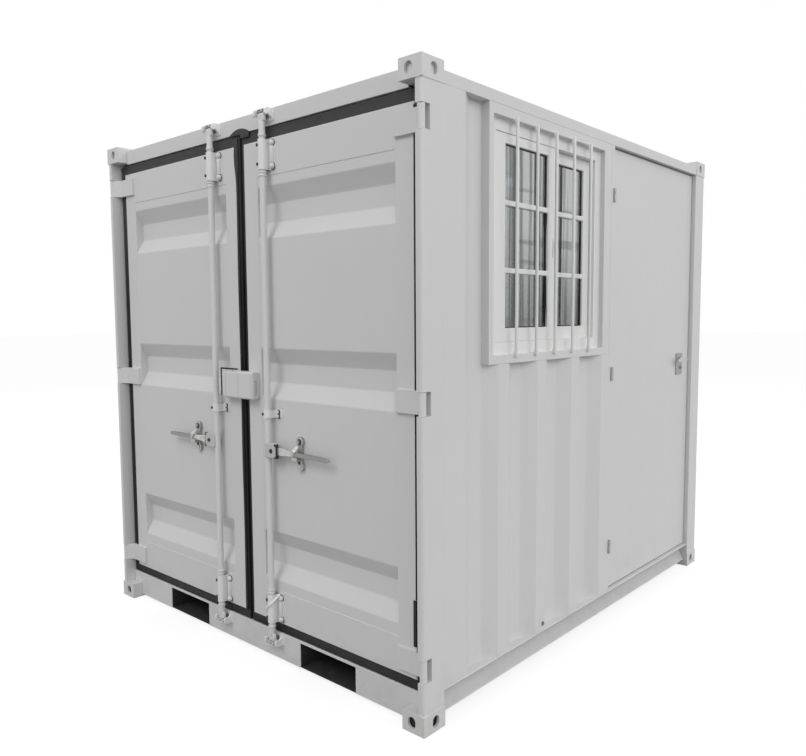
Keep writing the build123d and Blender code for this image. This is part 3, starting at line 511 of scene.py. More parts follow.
# Roof and walls: 2 mm steel sheet folded in a press, so every fold is a clean bend of some millimetres.
# The sheets are seam-welded to the rails and posts all round.
def rounded(line, radius, closed=False, steps=4, hold=0.0009):
    """A line of flat points with each corner cut to an arc of the radius. A point just before and just
    after each arc keeps the shading of the flat legs flat."""
    line = np.asarray(line, float)
    count, points = len(line), []
    for k in range(count):
        if not closed and k in (0, count - 1):
            points.append(line[k])
            continue
        back, ahead = line[k - 1] - line[k], line[(k + 1) % count] - line[k]
        reach = 0.45 * min(np.linalg.norm(back), np.linalg.norm(ahead))
        back, ahead = back / np.linalg.norm(back), ahead / np.linalg.norm(ahead)
        half = np.arccos(np.clip(back @ ahead, -0.9999, 0.9999)) / 2
        cut = min(radius / np.tan(half), reach - hold)
        centre = line[k] + (back + ahead) / np.linalg.norm(back + ahead) * (cut / np.cos(half))
        first, last = line[k] + back * cut - centre, line[k] + ahead * cut - centre
        total = np.pi - 2 * half
        points.append(line[k] + back * (cut + hold))
        for t in np.linspace(0.0, 1.0, steps + 1):
            spoke = np.sin((1 - t) * total) * first + np.sin(t * total) * last
            points.append(centre + spoke / np.sin(total))
        points.append(line[k] + ahead * (cut + hold))
    return np.array(points)


def strip(line, thickness, place, levels):
    """A sheet bent along a line of (run, drop) points, thickened towards rising drop and drawn out
    over the levels; place turns run, drop and level into points."""
    steps = np.gradient(line, axis=0)
    normals = np.stack([-steps[:, 1], steps[:, 0]], -1) / np.linalg.norm(steps, axis=1)[:, None]
    ring = np.vstack([line, (line + thickness * normals)[::-1]])
    rows = [np.stack(np.broadcast_arrays(*place(ring[:, 0], ring[:, 1], level)), -1) for level in levels]
    points, faces = skin(rows)
    faces = faces[:-2]
    ring_size, last = len(ring), (len(rows) - 1) * len(ring)
    for start in (0, last):
        for k in range(len(line) - 1):
            faces.append([start + k, start + k + 1, start + ring_size - 2 - k, start + ring_size - 1 - k])
    return points, faces


CREST, SLOPE, VALLEY = 0.066, 0.066, 0.072
WAVE = CREST + 2 * SLOPE + VALLEY


def corrugation(start, end, first, count, depth):
    """Folds of a pressed sheet between two runs: waves that fall, run level, rise and run level."""
    folds = (first + WAVE * np.arange(count)[:, None] + [0.0, SLOPE, SLOPE + VALLEY, WAVE - CREST]).ravel()
    drops = np.tile([0.0, depth, depth, 0.0], count)
    inside = (folds > start + 0.01) & (folds < end - 0.01)
    run = np.concatenate([[start], folds[inside], [end]])
    return np.stack([run, np.interp(run, folds, drops)], -1)


SHEET, FOLD_RADIUS, WAVE_DEPTH, ROOF_DEPTH = 0.002, 0.009, 0.036, 0.020
wall_paint = enamel("wall_enamel", peel=0.8, gloss=0.40)
front_low, front_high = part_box("right_wall_front")
left_x, rear_y, roof_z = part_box("left_wall")[0].x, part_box("rear_wall")[1].y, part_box("roof_panel")[1].z
first_fold = front_low.y + 0.122
wall_x = front_high.x


def on_right_wall(run, drop, level):
    """Point of a sheet's section on the right wall, whose folds fall inwards from its outer face."""
    return wall_x - drop, run, level


SHEETS = {
    "right_wall_front": (1, 2, first_fold, 4, WAVE_DEPTH, on_right_wall),
    "right_wall_below_window": (1, 2, first_fold, 4, WAVE_DEPTH, on_right_wall),
    "left_wall": (1, 2, None, 7, WAVE_DEPTH, lambda run, drop, level: (left_x + drop, run, level)),
    "rear_wall": (0, 2, None, 6, WAVE_DEPTH, lambda run, drop, level: (run, rear_y - drop, level)),
    "roof_panel": (1, 0, None, 7, ROOF_DEPTH, lambda run, drop, level: (level, run, roof_z - drop)),
}
for node, (run_axis, level_axis, first, count, depth, place) in SHEETS.items():
    low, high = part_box(node)
    start, end = low[run_axis], high[run_axis]
    if first is None:
        first = (start + end - count * WAVE + CREST) / 2
    folds = rounded(corrugation(start, end, first, count, depth), FOLD_RADIUS)
    sheet = strip(folds, SHEET, place, (low[level_axis], high[level_axis]))
    piece = gathered(node + "_sheet", [sheet], wall_paint, BODY[node], 25.0)
    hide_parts(node)

seam_x = wall_x - 0.0005
wall_welds = [
    weld((wall_x, front_low.y, front_low.z), (wall_x, front_low.y + 0.12, front_low.z), 0.0018),
    weld((seam_x, post_high.y, front_low.z), (seam_x, post_high.y, front_high.z), 0.002),
]
gathered("wall_welds", wall_welds, wall_paint)


# Drain plug: a small moulded rubber plug, low on the right wall below the window. It is pressed into a
# round hole in the sheet.
def rubber(name, tone):
    """Moulded rubber: near-black, faintly mottled, dusty in its grain, and lighter higher up as painted light.
    """
    black = Finish(name)
    bloom = black.noise(24.0, 5.0, 0.65).above(0.50, 0.78) * 0.08
    # Painted light: the colour grows lighter from 1.5 m up to 2.15 m, where more light falls on the seals.
    lit_higher_up = 1.0 + 3.4 * black.axis("Z").above(1.50, 2.15)
    base = black.tinted((tone, tone, tone * 1.03), (0.85 + 0.3 * black.noise(6.0)) * lit_higher_up)
    toned = black.mixed(bloom, base, (0.13, 0.125, 0.12))
    grain = black.noise(480.0, 3.0, 0.6)
    rough = 0.62 + 0.2 * black.noise(18.0)
    bumps = black.bump(grain, 0.0004, 0.35)
    return black.shaded(Base_Color=toned, Roughness=rough, Specular_IOR_Level=0.32, Normal=bumps)


def turned(profile, centre, axis, sides=24):
    """Profile of (radius, height) or (radius, height, hex) turned round an axis. Where hex is 1 the ring is
    a hexagon, radius r cos 30 / cos of the angle from the nearest flat's middle; otherwise it is a circle."""
    profile = np.array([(*ring, 0.0)[:3] for ring in profile], float)
    around = np.linspace(0.0, 2 * np.pi, sides, endpoint=False)
    flat = np.mod(around, np.pi / 3) - np.pi / 6
    ratio = np.cos(np.pi / 6) / np.cos(flat)
    radii = profile[:, :1] * ((1.0 - profile[:, 2:3]) + profile[:, 2:3] * ratio[None])
    side, lift = outward(axis)
    axis = np.array(axis, float) / np.linalg.norm(axis)
    ring = np.cos(around)[:, None] * side + np.sin(around)[:, None] * lift
    rows = np.array(centre) + radii[..., None] * ring[None] + profile[:, 1][:, None, None] * axis
    return skin(rows)


gasket_rubber = rubber("gasket_rubber", 0.0105)
PLUG_PROFILE = [(0.009, -0.002), (0.009, 0.0015), (0.0075, 0.003), (0.003, 0.0036)]
plug = turned(PLUG_PROFILE, (wall_x, -0.455, channel_high.z + 0.030), (1, 0, 0))
gathered("drain_plug", [plug], rubber("plug_rubber", 0.16))


# Window surround: a folded steel plate over the corrugations, with a sleeve through the wall. It is
# seam-welded to the sheet and painted with it.
surround_paint = enamel("surround_enamel", peel=0.7, gloss=0.38)
shell_of("window_surround", 0.0018, surround_paint)


# Window: a white extruded plastic frame with two sliding sashes, their muntins, and clear glass
# bedded in dark rubber. The sashes run on the frame's own tracks.
def vinyl(name):
    """Extruded plastic: nearly white, satin, with long faint die lines and a trace of dust."""
    white = Finish(name)
    drift = 0.96 + 0.05 * white.noise(3.0, 3.0)
    dust = white.noise(30.0, 6.0, 0.7).above(0.56, 0.76) * 0.06
    toned = white.mixed(dust, white.tinted((0.80, 0.80, 0.795), drift), (0.45, 0.43, 0.40))
    lines = white.noise(260.0, 2.0, 0.5, (1.0, 0.04, 0.04))
    rough = 0.26 + 0.12 * white.noise(16.0)
    return white.shaded(Base_Color=toned, Roughness=rough, Normal=white.bump(lines, 0.0002, 0.25))


white_vinyl = vinyl("white_vinyl")
shell_of("window_frame", 0.0025, white_vinyl, segments=3)
shell_of("window_sashes", 0.0030, white_vinyl, segments=3)


def pane_glass():
    """Thin clear glass: light passes straight through, and the surface mirrors by its Fresnel, with a painted
    reflection that grows toward the top and with bands that stand for folded cloth and slats behind the panes.
    """
    pane = Finish("window_glass")
    smear = pane.noise(5.0, 5.0, 0.65)
    folds = pane.noise(1.0, 3.0, 0.65, (1.0, 19.0, 0.30)).above(0.42, 0.56)
    height = pane.axis("Z").above(1.32, 1.78)
    slats = pane.noise(1.0, 2.0, 0.5, (1.0, 0.8, 13.0)).above(0.57, 0.62)
    gloss = pane.node("ShaderNodeBsdfGlossy", None, {"Color": (0.9, 0.92, 0.92, 1.0), "Roughness": 0.02})
    clear = pane.node("ShaderNodeBsdfTransparent", None, {"Color": (0.50, 0.51, 0.51, 1.0)})
    mirror = pane.node("ShaderNodeFresnel", None, {"IOR": 1.5})
    # Fresnel mirror and smears, plus a painted reflection: stronger higher up, stronger in upright fold bands
    # and weaker in level slat bands.
    mirror_smear_and_painted_reflection = mirror * 0.8 + 0.03 * smear + (0.12 + 0.32 * height) * (0.15 + 0.85 * folds) * (1.0 - 0.4 * slats)
    mixed = pane.node("ShaderNodeMixShader", None, {0: mirror_smear_and_painted_reflection.clamped(), 1: clear, 2: gloss})
    pane.node("ShaderNodeOutputMaterial", None, {"Surface": mixed})
    return pane.material


shell_of("window_glass", 0.0004, pane_glass(), segments=1)
glass_points = np.array([v.co for v in NODES["window_glass"].data.vertices])
pane_middle = (glass_points[:, 0].min() + glass_points[:, 0].max()) / 2
in_front = glass_points[:, 0] > pane_middle


def sides_of(x, y0, z0, y1, z1):
    """The four sides of an upright rectangle, each as its two ends."""
    loop = [(x, y0, z0), (x, y1, z0), (x, y1, z1), (x, y0, z1)]
    return zip(loop, loop[1:] + loop[:1])


BEAD_OUTLINE = [(-0.0035, 0.0), (-0.0035, 0.0035), (0.0, 0.0055), (0.0035, 0.0035), (0.0035, 0.0)]
glazing = []
for pane in (glass_points[in_front], glass_points[~in_front]):
    for ends in sides_of(pane[:, 0].max(), *pane[:, 1:].min(0), *pane[:, 1:].max(0)):
        glazing.append(swept(BEAD_OUTLINE, ends, up=(1, 0, 0)))
gathered("glazing_beads", glazing, gasket_rubber)


# Sash fittings: a finger pull and a small cam latch of the same plastic on the meeting stile,
# and a bead of white sealant between the frame and the steel sleeve.
sash_low, sash_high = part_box("window_sashes")
frame_low, frame_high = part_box("window_frame")
stile_y = glass_points[in_front, 1].max() + 0.045
x, z = sash_high.x, (sash_low.z + sash_high.z) / 2 - 0.05
latch = [
    plate((x - 0.001, stile_y - 0.010, z), (x + 0.004, stile_y + 0.010, z + 0.075)),
    plate((x, stile_y - 0.005, z + 0.020), (x + 0.010, stile_y + 0.005, z + 0.058)),
]
edged(gathered("sash_latch", latch, white_vinyl), 0.0016)
joints = sides_of(frame_high.x, frame_low.y, frame_low.z, frame_high.y, frame_high.z)
gathered("sealant_bead", [weld(*ends, 0.0026) for ends in joints], white_vinyl)


# Security bars: five round steel bars in front of the window, ground to a dome at each end and
# welded to the face of the surround with a small fillet.
bar_paint = enamel("bar_enamel", 0.760, peel=1.1, gloss=0.36)
bar_low, bar_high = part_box("security_bars")
bar_radius = (bar_high.x - bar_low.x) / 2
BAR_COUNT, SEAM_START, SEAM_END = 5, 0.003, 0.026
reach = bar_high.z - bar_low.z
dome = [(bar_radius * np.sin(t), bar_radius * 0.7 * (1 - np.cos(t))) for t in (0.25, 0.6, 1.0, 1.35, 1.57)]
profile = dome + [(r, reach - h) for r, h in dome[::-1]]
bars = []
for n in range(BAR_COUNT):
    y = bar_low.y + bar_radius + n * (bar_high.y - bar_low.y - 2 * bar_radius) / (BAR_COUNT - 1)
    bars.append(turned(profile, (bar_low.x + bar_radius, y, bar_low.z), (0, 0, 1), 20))
    foot, head = bar_low.z, bar_high.z
    for low, high in ((foot + SEAM_START, foot + SEAM_END), (head - SEAM_END, head - SEAM_START)):
        for side in (-1, 1):
            x, seam_y = bar_low.x + 0.0008, y + side * bar_radius * 0.8
            bars.append(weld((x, seam_y, low), (x, seam_y, high), 0.0032))
bar_piece = gathered("window_bars", bars, bar_paint, "cabin")
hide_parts("security_bars")


# Personnel door: a flat steel leaf in a folded frame, with a dark rubber seal all round behind it.
# It hangs on three welded barrel hinges and has a zinc-plated lever on a lock plate.
door_paint = enamel("door_enamel", gloss=0.41)
shell_of("side_door_frame", 0.0022, door_paint)
shell_of("side_door_leaf", 0.0030, door_paint, segments=3)
door_low, door_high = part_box("side_door_leaf")
plate_low, plate_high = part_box("side_door_lock_plate")
door_face_x = plate_low.x
SEAL_BACK, SEAL_FRONT, SEAL_WIDE = door_face_x - 0.0445, door_face_x - 0.0405, 0.026
y0, y1, z0, z1 = door_low.y + 0.010, door_high.y - 0.006, door_low.z + 0.006, door_high.z - 0.006
door_seal = [
    plate((SEAL_BACK, y0, z0), (SEAL_FRONT, y0 + SEAL_WIDE, z1)),
    plate((SEAL_BACK, y1 - SEAL_WIDE, z0), (SEAL_FRONT, y1, z1)),
    plate((SEAL_BACK, y0, z1 - SEAL_WIDE), (SEAL_FRONT, y1, z1)),
]
edged(gathered("side_door_seal", door_seal, gasket_rubber), 0.0015)


# Side door lock: a zinc-plated cover plate held by four screws, a lever on a round rose, and a key
# cylinder below it. All of it but the key slot is bright plated steel, brushed along its length; the key slot
# is a thin black block, painted shade for the keyway.
def zinc(name, tone, rough, dull=0.0, painted_highlight=0.0):
    """Zinc plate: bright metal with a faint spangle, brushed lines and a white bloom where it is worn. A
    painted highlight brightens the colour of what lies within a third of a metre of the cabin's middle."""
    metal = Finish(name)
    cells = metal.node("ShaderNodeTexVoronoi", None, {"Vector": metal.place, "Scale": 210.0}, "Color")
    spangle = metal.node("ShaderNodeSeparateColor", None, {0: cells})
    bloom = (metal.noise(34.0, 5.0, 0.65).above(0.44, 0.70) * 0.5 + dull).clamped()
    near = 1.0 - metal.axis("X").alone("ABSOLUTE").above(0.325, 0.360)
    # Painted highlight: the colour is brighter near the cabin's middle, on the handles' first stretch from the
    # hub.
    base = metal.tinted((tone, tone, tone * 0.985), (0.88 + 0.20 * spangle) * (1.0 + painted_highlight * near))
    toned = metal.mixed(bloom, base, (1.25 * tone, 1.25 * tone, 1.22 * tone))
    lines = metal.noise(380.0, 3.0, 0.6, (0.12, 1.0, 1.0))
    roughness = rough + 0.16 * metal.noise(60.0, 4.0) + 0.22 * bloom
    bumps = metal.bump(lines + spangle * 0.25, 0.0003, 0.35)
    plated = (0.92 - 0.35 * bloom).clamped()
    return metal.shaded(Base_Color=toned, Metallic=plated, Roughness=roughness, Normal=bumps)


def screw_head(centre, axis, radius):
    """Low domed head with a flat rim."""
    dome = [(1.0, 0.0), (1.0, 0.18), (0.94, 0.32), (0.74, 0.48), (0.42, 0.58), (0.12, 0.60)]
    return turned([(radius * r, radius * h) for r, h in dome], centre, axis, 20)


def bolt_head(centre, axis, radius):
    """Hexagon head with a turned-off rim, on a plain washer."""
    rings = [(1.42, 0.0, 0), (1.42, 0.16, 0), (1.34, 0.24, 0)]
    rings += [(1.0, 0.24, 1), (1.0, 0.80, 1), (0.86, 0.94, 1), (0.30, 0.96, 0)]
    return turned([(radius * r, radius * h, x) for r, h, x in rings], centre, axis, 24)


bright_zinc = zinc("bright_zinc", 0.40, 0.34, 0.05)
lock_steel = zinc("lock_steel", 0.34, 0.30)
shell_of("side_door_lock_plate", 0.0012, lock_steel)
lever_low, lever_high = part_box("side_door_lever")
lock_fittings = []
for y in (plate_low.y + 0.009, plate_high.y - 0.009):
    for z in (plate_low.z + 0.010, plate_high.z - 0.010):
        lock_fittings.append(screw_head((plate_high.x - 0.0003, y, z), (1, 0, 0), 0.0042))
SPINDLE_INSET, KEY_RISE, KEY_HALF_WIDE, KEY_HALF_TALL = 0.020, 0.036, 0.0012, 0.006
key_y, key_z, plate_x = plate_high.y - SPINDLE_INSET, plate_low.z + KEY_RISE, plate_high.x
cylinder = [(0.0100, 0.0), (0.0100, 0.005), (0.0088, 0.0062), (0.0050, 0.0064)]
lock_fittings.append(turned(cylinder, (plate_x, key_y, key_z), (1, 0, 0)))
edged(gathered("lock_screws", lock_fittings, lock_steel, "side_door"), 0.0003, 1)
# Key slot: a thin block of the black rubber on the cylinder's face, painted shade for the keyway.
key_end = (plate_x + 0.0068, key_y + KEY_HALF_WIDE, key_z + KEY_HALF_TALL)
key_slot = plate((plate_x + 0.0055, key_y - KEY_HALF_WIDE, key_z - KEY_HALF_TALL), key_end)
gathered("key_slot", [key_slot], gasket_rubber, "side_door")
lever_y, lever_z = plate_high.y - SPINDLE_INSET, (lever_low.z + lever_high.z) / 2
rose = [(0.0155, 0.0005), (0.0155, 0.006), (0.0140, 0.0085), (0.0100, 0.0100), (0.0085, 0.014), (0.0085, 0.034)]
rose.append((0.0070, 0.036))
lever_x, grip_y = lever_high.x, np.linspace(lever_y - 0.030, lever_low.y + 0.0095, 8)
lever_path = [(lever_x - 0.011, lever_y + 0.006, lever_z), (lever_x - 0.008, lever_y - 0.012, lever_z)]
lever_path += [(lever_x - 0.0062, y, lever_z) for y in grip_y]


def squared_oval(half_across, half_up, power, count):
    """Closed outline: x = half_across cos t, and y = half_up times sin t to the power, with sin t's sign."""
    t = np.linspace(0.0, 2 * np.pi, count, endpoint=False)
    return np.stack([half_across * np.cos(t), half_up * np.sign(np.sin(t)) * np.abs(np.sin(t)) ** power], -1)


lever_sizes = [(0.9, 1.0)] + [(1.0, 1.0)] * 7 + [(0.92, 0.95), (0.62, 0.7)]
lever = [turned(rose, (plate_x, lever_y, lever_z), (1, 0, 0))]
lever.append(swept(squared_oval(0.0092, 0.0052, 0.7, 16), lever_path, (1, 0, 0), None, lever_sizes))
lever_piece = gathered("door_lever", lever, zinc("lever_steel", 0.50, 0.24), "side_lever", 50.0)
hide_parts("side_door_lever")


# Side door hinge caps: short turned steel barrels on the front jamb that cover the tops of the hinges.
# Each is in two halves with a groove between them, and is welded to the jamb.
CAP_LEVELS = (0.314, 1.127, 1.936)
barrel = [(0.0045, 0.0), (0.0065, 0.0015), (0.0070, 0.004), (0.0070, 0.029), (0.0060, 0.031)]
barrel += [(0.0060, 0.033), (0.0070, 0.035), (0.0070, 0.060), (0.0065, 0.0625), (0.0045, 0.064)]
cap_x, cap_y = 0.001 + door_face_x + 0.0245, door_low.y - 0.0055
caps = [turned(barrel, (cap_x, cap_y, z), (0, 0, 1), 20) for z in CAP_LEVELS]
gathered("side_hinge_caps", caps, lock_steel)


# Cargo leaves: a frame folded from 4 mm plate round a pressed 2.5 mm sheet with three level troughs.
# The sheet is seam-welded into the frame; both are sprayed together.
leaf_paint = enamel("leaf_enamel")
PLATE_WALL, SECTION_WIDTH, FOLD_ROUND = 0.004, 0.080, 0.0035
TROUGH_MOUTH, TROUGH_FLOOR, TROUGH_DEPTH, LEAF_SHEET = 0.205, 0.077, 0.036, 0.0025
LOW_TROUGH, MIDDLE_TROUGH, TOP_TROUGH_DROP = 0.283, 1.038, 0.286
CORNERS = ((0, 1, 1, 1), (2, 1, -1, 1), (2, 3, -1, -1), (0, 3, 1, -1))


def folded_frame(outer, inner, front, back):
    """Channel section open at the back, carried round the leaf. The points in the nearer half of the section
    keep their distance from the outer rectangle, and those in the farther half from the inner one."""
    wall, width = PLATE_WALL, SECTION_WIDTH
    section = [(0.0, front), (0.0, back), (wall, back), (wall, front + wall)]
    section += [(width - wall, front + wall), (width - wall, back), (width, back), (width, front)]
    across, depth = rounded(section, FOLD_ROUND, closed=True, steps=4, hold=0.0004).T
    near = across < width / 2
    rows = []
    for corner_x, corner_z, way_x, way_z in CORNERS:
        x = np.where(near, outer[corner_x] + way_x * across, inner[corner_x] - way_x * (width - across))
        z = np.where(near, outer[corner_z] + way_z * across, inner[corner_z] - way_z * (width - across))
        rows.append(np.stack([x, depth, z], -1))
    return skin(rows, loop=True)


leaf_sides = ((1, "right"), (-1, "left"))
for side, name in leaf_sides:
    leaf_low, leaf_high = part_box(name + "_leaf_frame")
    panel_low, panel_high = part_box(name + "_leaf_panel")
    outer = (leaf_low.x, leaf_low.z, leaf_high.x, leaf_high.z)
    inner = (panel_low.x, panel_low.z, panel_high.x, panel_high.z)
    ring = folded_frame(outer, inner, leaf_low.y, leaf_high.y)
    piece = gathered(name + "_frame_ring", [ring], leaf_paint, name + "_leaf")
    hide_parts(name + "_leaf_frame")
    line, half_mouth, half_floor = [(panel_low.z, 0.0)], TROUGH_MOUTH / 2, TROUGH_FLOOR / 2
    for z in (leaf_low.z + LOW_TROUGH, leaf_low.z + MIDDLE_TROUGH, leaf_high.z - TOP_TROUGH_DROP):
        line += [(z - half_mouth, 0.0), (z - half_floor, TROUGH_DEPTH)]
        line += [(z + half_floor, TROUGH_DEPTH), (z + half_mouth, 0.0)]
    folds, face_y = rounded(line + [(panel_high.z, 0.0)], 0.014), panel_low.y
    x0, x1 = panel_low.x, panel_high.x
    panel = strip(folds, LEAF_SHEET, lambda run, drop, level: (level, face_y + drop, run), (x0, x1))
    piece = gathered(name + "_panel_sheet", [panel], leaf_paint, name + "_leaf", smooth=25.0)
    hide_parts(name + "_leaf_panel")
    seams = [weld((x0, face_y, z), (x1, face_y, z), 0.0022) for z in (panel_low.z, panel_high.z)]
    gathered(name + "_panel_welds", seams, leaf_paint, name + "_leaf")


# Leaf gaskets: an extruded rubber seal clipped round the edge of each leaf, mitred at the corners, with a
# rounded front lip and a second lip behind it. The left leaf's seal laps onto its own face, and the right
# leaf's seal has a thick flap over the header at the meeting line.
SEAL_LIP = 0.0035
SEAL_OUTLINE = [
    (0.0, 0.02), (0.20, 0.01), (0.70, 0.05), (0.82, 0.02), (0.90, -0.01), (0.97, 0.02), (1.0, 0.10),
    (0.96, 0.20), (0.80, 0.24), (0.60, 0.30), (0.58, 0.44), (0.72, 0.52), (0.97, 0.58), (1.0, 0.66),
    (0.95, 0.74), (0.55, 0.82), (0.0, 0.88),
]


def seal_loop(inner, outer, front, depth):
    """Seal outline carried round a rectangle: each outline point (u, v) runs round the rectangle that lies
    the share u of the way from the inner rectangle to the outer one, at the share v of the depth."""
    u, v = np.array(SEAL_OUTLINE).T
    rows = []
    for corner_x, corner_z, *_ in CORNERS:
        x = inner[corner_x] + u * (outer[corner_x] - inner[corner_x])
        z = inner[corner_z] + u * (outer[corner_z] - inner[corner_z])
        rows.append(np.stack([x, front + v * depth, z], -1))
    return skin(rows, loop=True)


for side, name in leaf_sides:
    leaf_low, leaf_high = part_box(name + "_leaf_frame")
    seal_low, seal_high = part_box(name + "_leaf_gasket")
    inner = (leaf_low.x, leaf_low.z, leaf_high.x, leaf_high.z)
    outer = (seal_low.x, seal_low.z - SEAL_LIP, seal_high.x, seal_high.z)
    depth = seal_high.y - seal_low.y
    pieces = [seal_loop(inner, outer, seal_low.y, depth)]
    if side < 0:
        levels = np.linspace(leaf_low.z + 0.001, leaf_high.z + 0.030, 120)
        bulge = 0.011 * np.exp(-(((levels - leaf_high.z + 0.055) / 0.060) ** 2))
        bulge += 0.004 * np.exp(-(((levels - leaf_high.z) / 0.035) ** 2))
        reach = 0.0100 + bulge + 0.0012 * np.sin(levels * 9.0)
        edge_x, face = leaf_high.x, leaf_low.y
        flank = [(-1.0, 0.0), (-0.96, -0.0022), (-0.80, -0.0032)]
        flank = np.array(flank + [(0.10, -0.0032), (0.28, -0.0018), (0.28, 0.006)])
        x = edge_x + flank[None, :, 0] * reach[:, None]
        y = np.broadcast_to(face + flank[:, 1], x.shape)
        pieces.append(skin(np.stack([x, y, np.broadcast_to(levels[:, None], x.shape)], -1)))
    else:
        run = np.linspace(-0.064, 0.064, 29)
        crown = seal_high.z + 0.003 + 0.021 * np.clip(1.0 - (run / 0.066) ** 2, 0.0, 1.0) ** 0.8
        base = np.where(run < seal_low.x, seal_high.z + 0.001, seal_high.z - 0.016)
        ring_z = np.stack([base, crown * 0.5 + base * 0.5, crown - 0.002, crown, crown - 0.002, base], -1)
        ring_y = leaf_low.y - np.array([0.0045, 0.0060, 0.0052, 0.0034, 0.0010, 0.0010])
        ring = np.stack(np.broadcast_arrays(run[:, None], ring_y[None], ring_z), -1)
        pieces.append(skin(ring))
        x1, y0, y1 = leaf_high.x + 0.0005, leaf_low.y, leaf_low.y + 0.002
        pieces.append(plate((x1 - 0.0125, y0 - 0.0030, leaf_low.z + 0.120), (x1, y1, leaf_low.z + 0.285)))
        pieces.append(plate((x1 - 0.0030, y0 - 0.0016, leaf_low.z + 0.287), (x1, y1, leaf_high.z - 0.012)))
    piece = gathered(name + "_seal", pieces, gasket_rubber, name + "_leaf", 38.0)
    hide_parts(name + "_leaf_gasket")


# Leaf hinges: forged straps cranked round to a knuckle on the post's pin, welded to the stile along
# their edges. The notches in the posts have a dressed bead of weld above and below the knuckle.
LOW_HINGE, MIDDLE_HINGE, TOP_HINGE_DROP, STRAP_LAP = 0.064, 0.977, 0.066, 0.085
notch_welds = []
for side, name in leaf_sides:
    shell_of(name + "_leaf_hinges", 0.0018, leaf_paint, segments=3)
    hinge_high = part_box(name + "_leaf_hinges")[1]
    leaf_low, leaf_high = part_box(name + "_leaf_frame")
    half = hinge_high.z - (leaf_high.z - TOP_HINGE_DROP)
    outer_x, y = leaf_high.x if side > 0 else leaf_low.x, leaf_low.y
    near_x, end_x = outer_x - side * 0.004, outer_x - side * STRAP_LAP
    notch_x, notch_y = (side * (post_high.x - 0.026), side * (post_high.x - 0.003)), post_low.y + 0.001
    seams = []
    for level in (leaf_low.z + LOW_HINGE, leaf_low.z + MIDDLE_HINGE, leaf_high.z - TOP_HINGE_DROP):
        low, high = level - half, level + half
        corners = [(near_x, y, high), (end_x, y, high), (end_x, y, low), (near_x, y, low)]
        seams += [weld(start, end, 0.0026) for start, end in zip(corners, corners[1:])]
        for z in (low - 0.0015, high + 0.0015):
            notch_welds.append(weld((notch_x[0], notch_y, z), (notch_x[1], notch_y, z), 0.0016))
    gathered(name + "_hinge_welds", seams, leaf_paint, name + "_leaf")
gathered("notch_welds", notch_welds, post_paint)


# Lock rods: steel tube from sill to header, painted with the doors, with a two-armed cam welded on each
# end, step rings above and below the end brackets, and a forked hub for the handle.
def plated_black(name):
    """Blackened bolt steel: dark, slightly metallic, dusty in the corners."""
    black = Finish(name)
    dust = black.noise(90.0, 5.0, 0.65).above(0.50, 0.74) * 0.25
    base = black.tinted((0.050, 0.050, 0.052), 0.8 + 0.4 * black.noise(40.0))
    toned = black.mixed(dust, base, (0.15, 0.145, 0.14))
    rough, metal = 0.42 + 0.20 * black.noise(70.0), (0.6 - dust).clamped()
    bumps = black.bump(black.noise(500.0, 4.0, 0.6), 0.0003, 0.4)
    return black.shaded(Base_Color=toned, Metallic=metal, Roughness=rough, Normal=bumps)


def joint_place(name):
    """Where a joint's axis stands across and in depth."""
    place = next(j for j in frame["record"]["behaviour"]["joints"] if j["name"] == name)["pos_m"]
    return place[0], place[1]


bolt_black = plated_black("bolt_black")
rod_paint = enamel("rod_enamel", 0.700, peel=1.2, gloss=0.34)
hub_paint = enamel("hub_enamel", 0.540, peel=1.2, gloss=0.40)
bright_paint = enamel("fitting_enamel", 0.800, peel=1.2, gloss=0.30)
ROD_RADIUS, CAM_HEIGHT, CAM_LAP, CAM_HALF = 0.013, 0.030, 0.004, 0.008
BRACKET_HEIGHT, RING_OUT, LIP_OUT = 0.118, 0.0030, 0.0022
HUB_HALF, CHEEK_HALF, CHEEK_THICK, CHEEK_REACH, PIVOT_REACH = 0.025, 0.029, 0.006, 0.068, 0.052


def middle(node):
    """The middle of a CAD node's box."""
    return [(low + high) / 2 for low, high in zip(*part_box(node))]


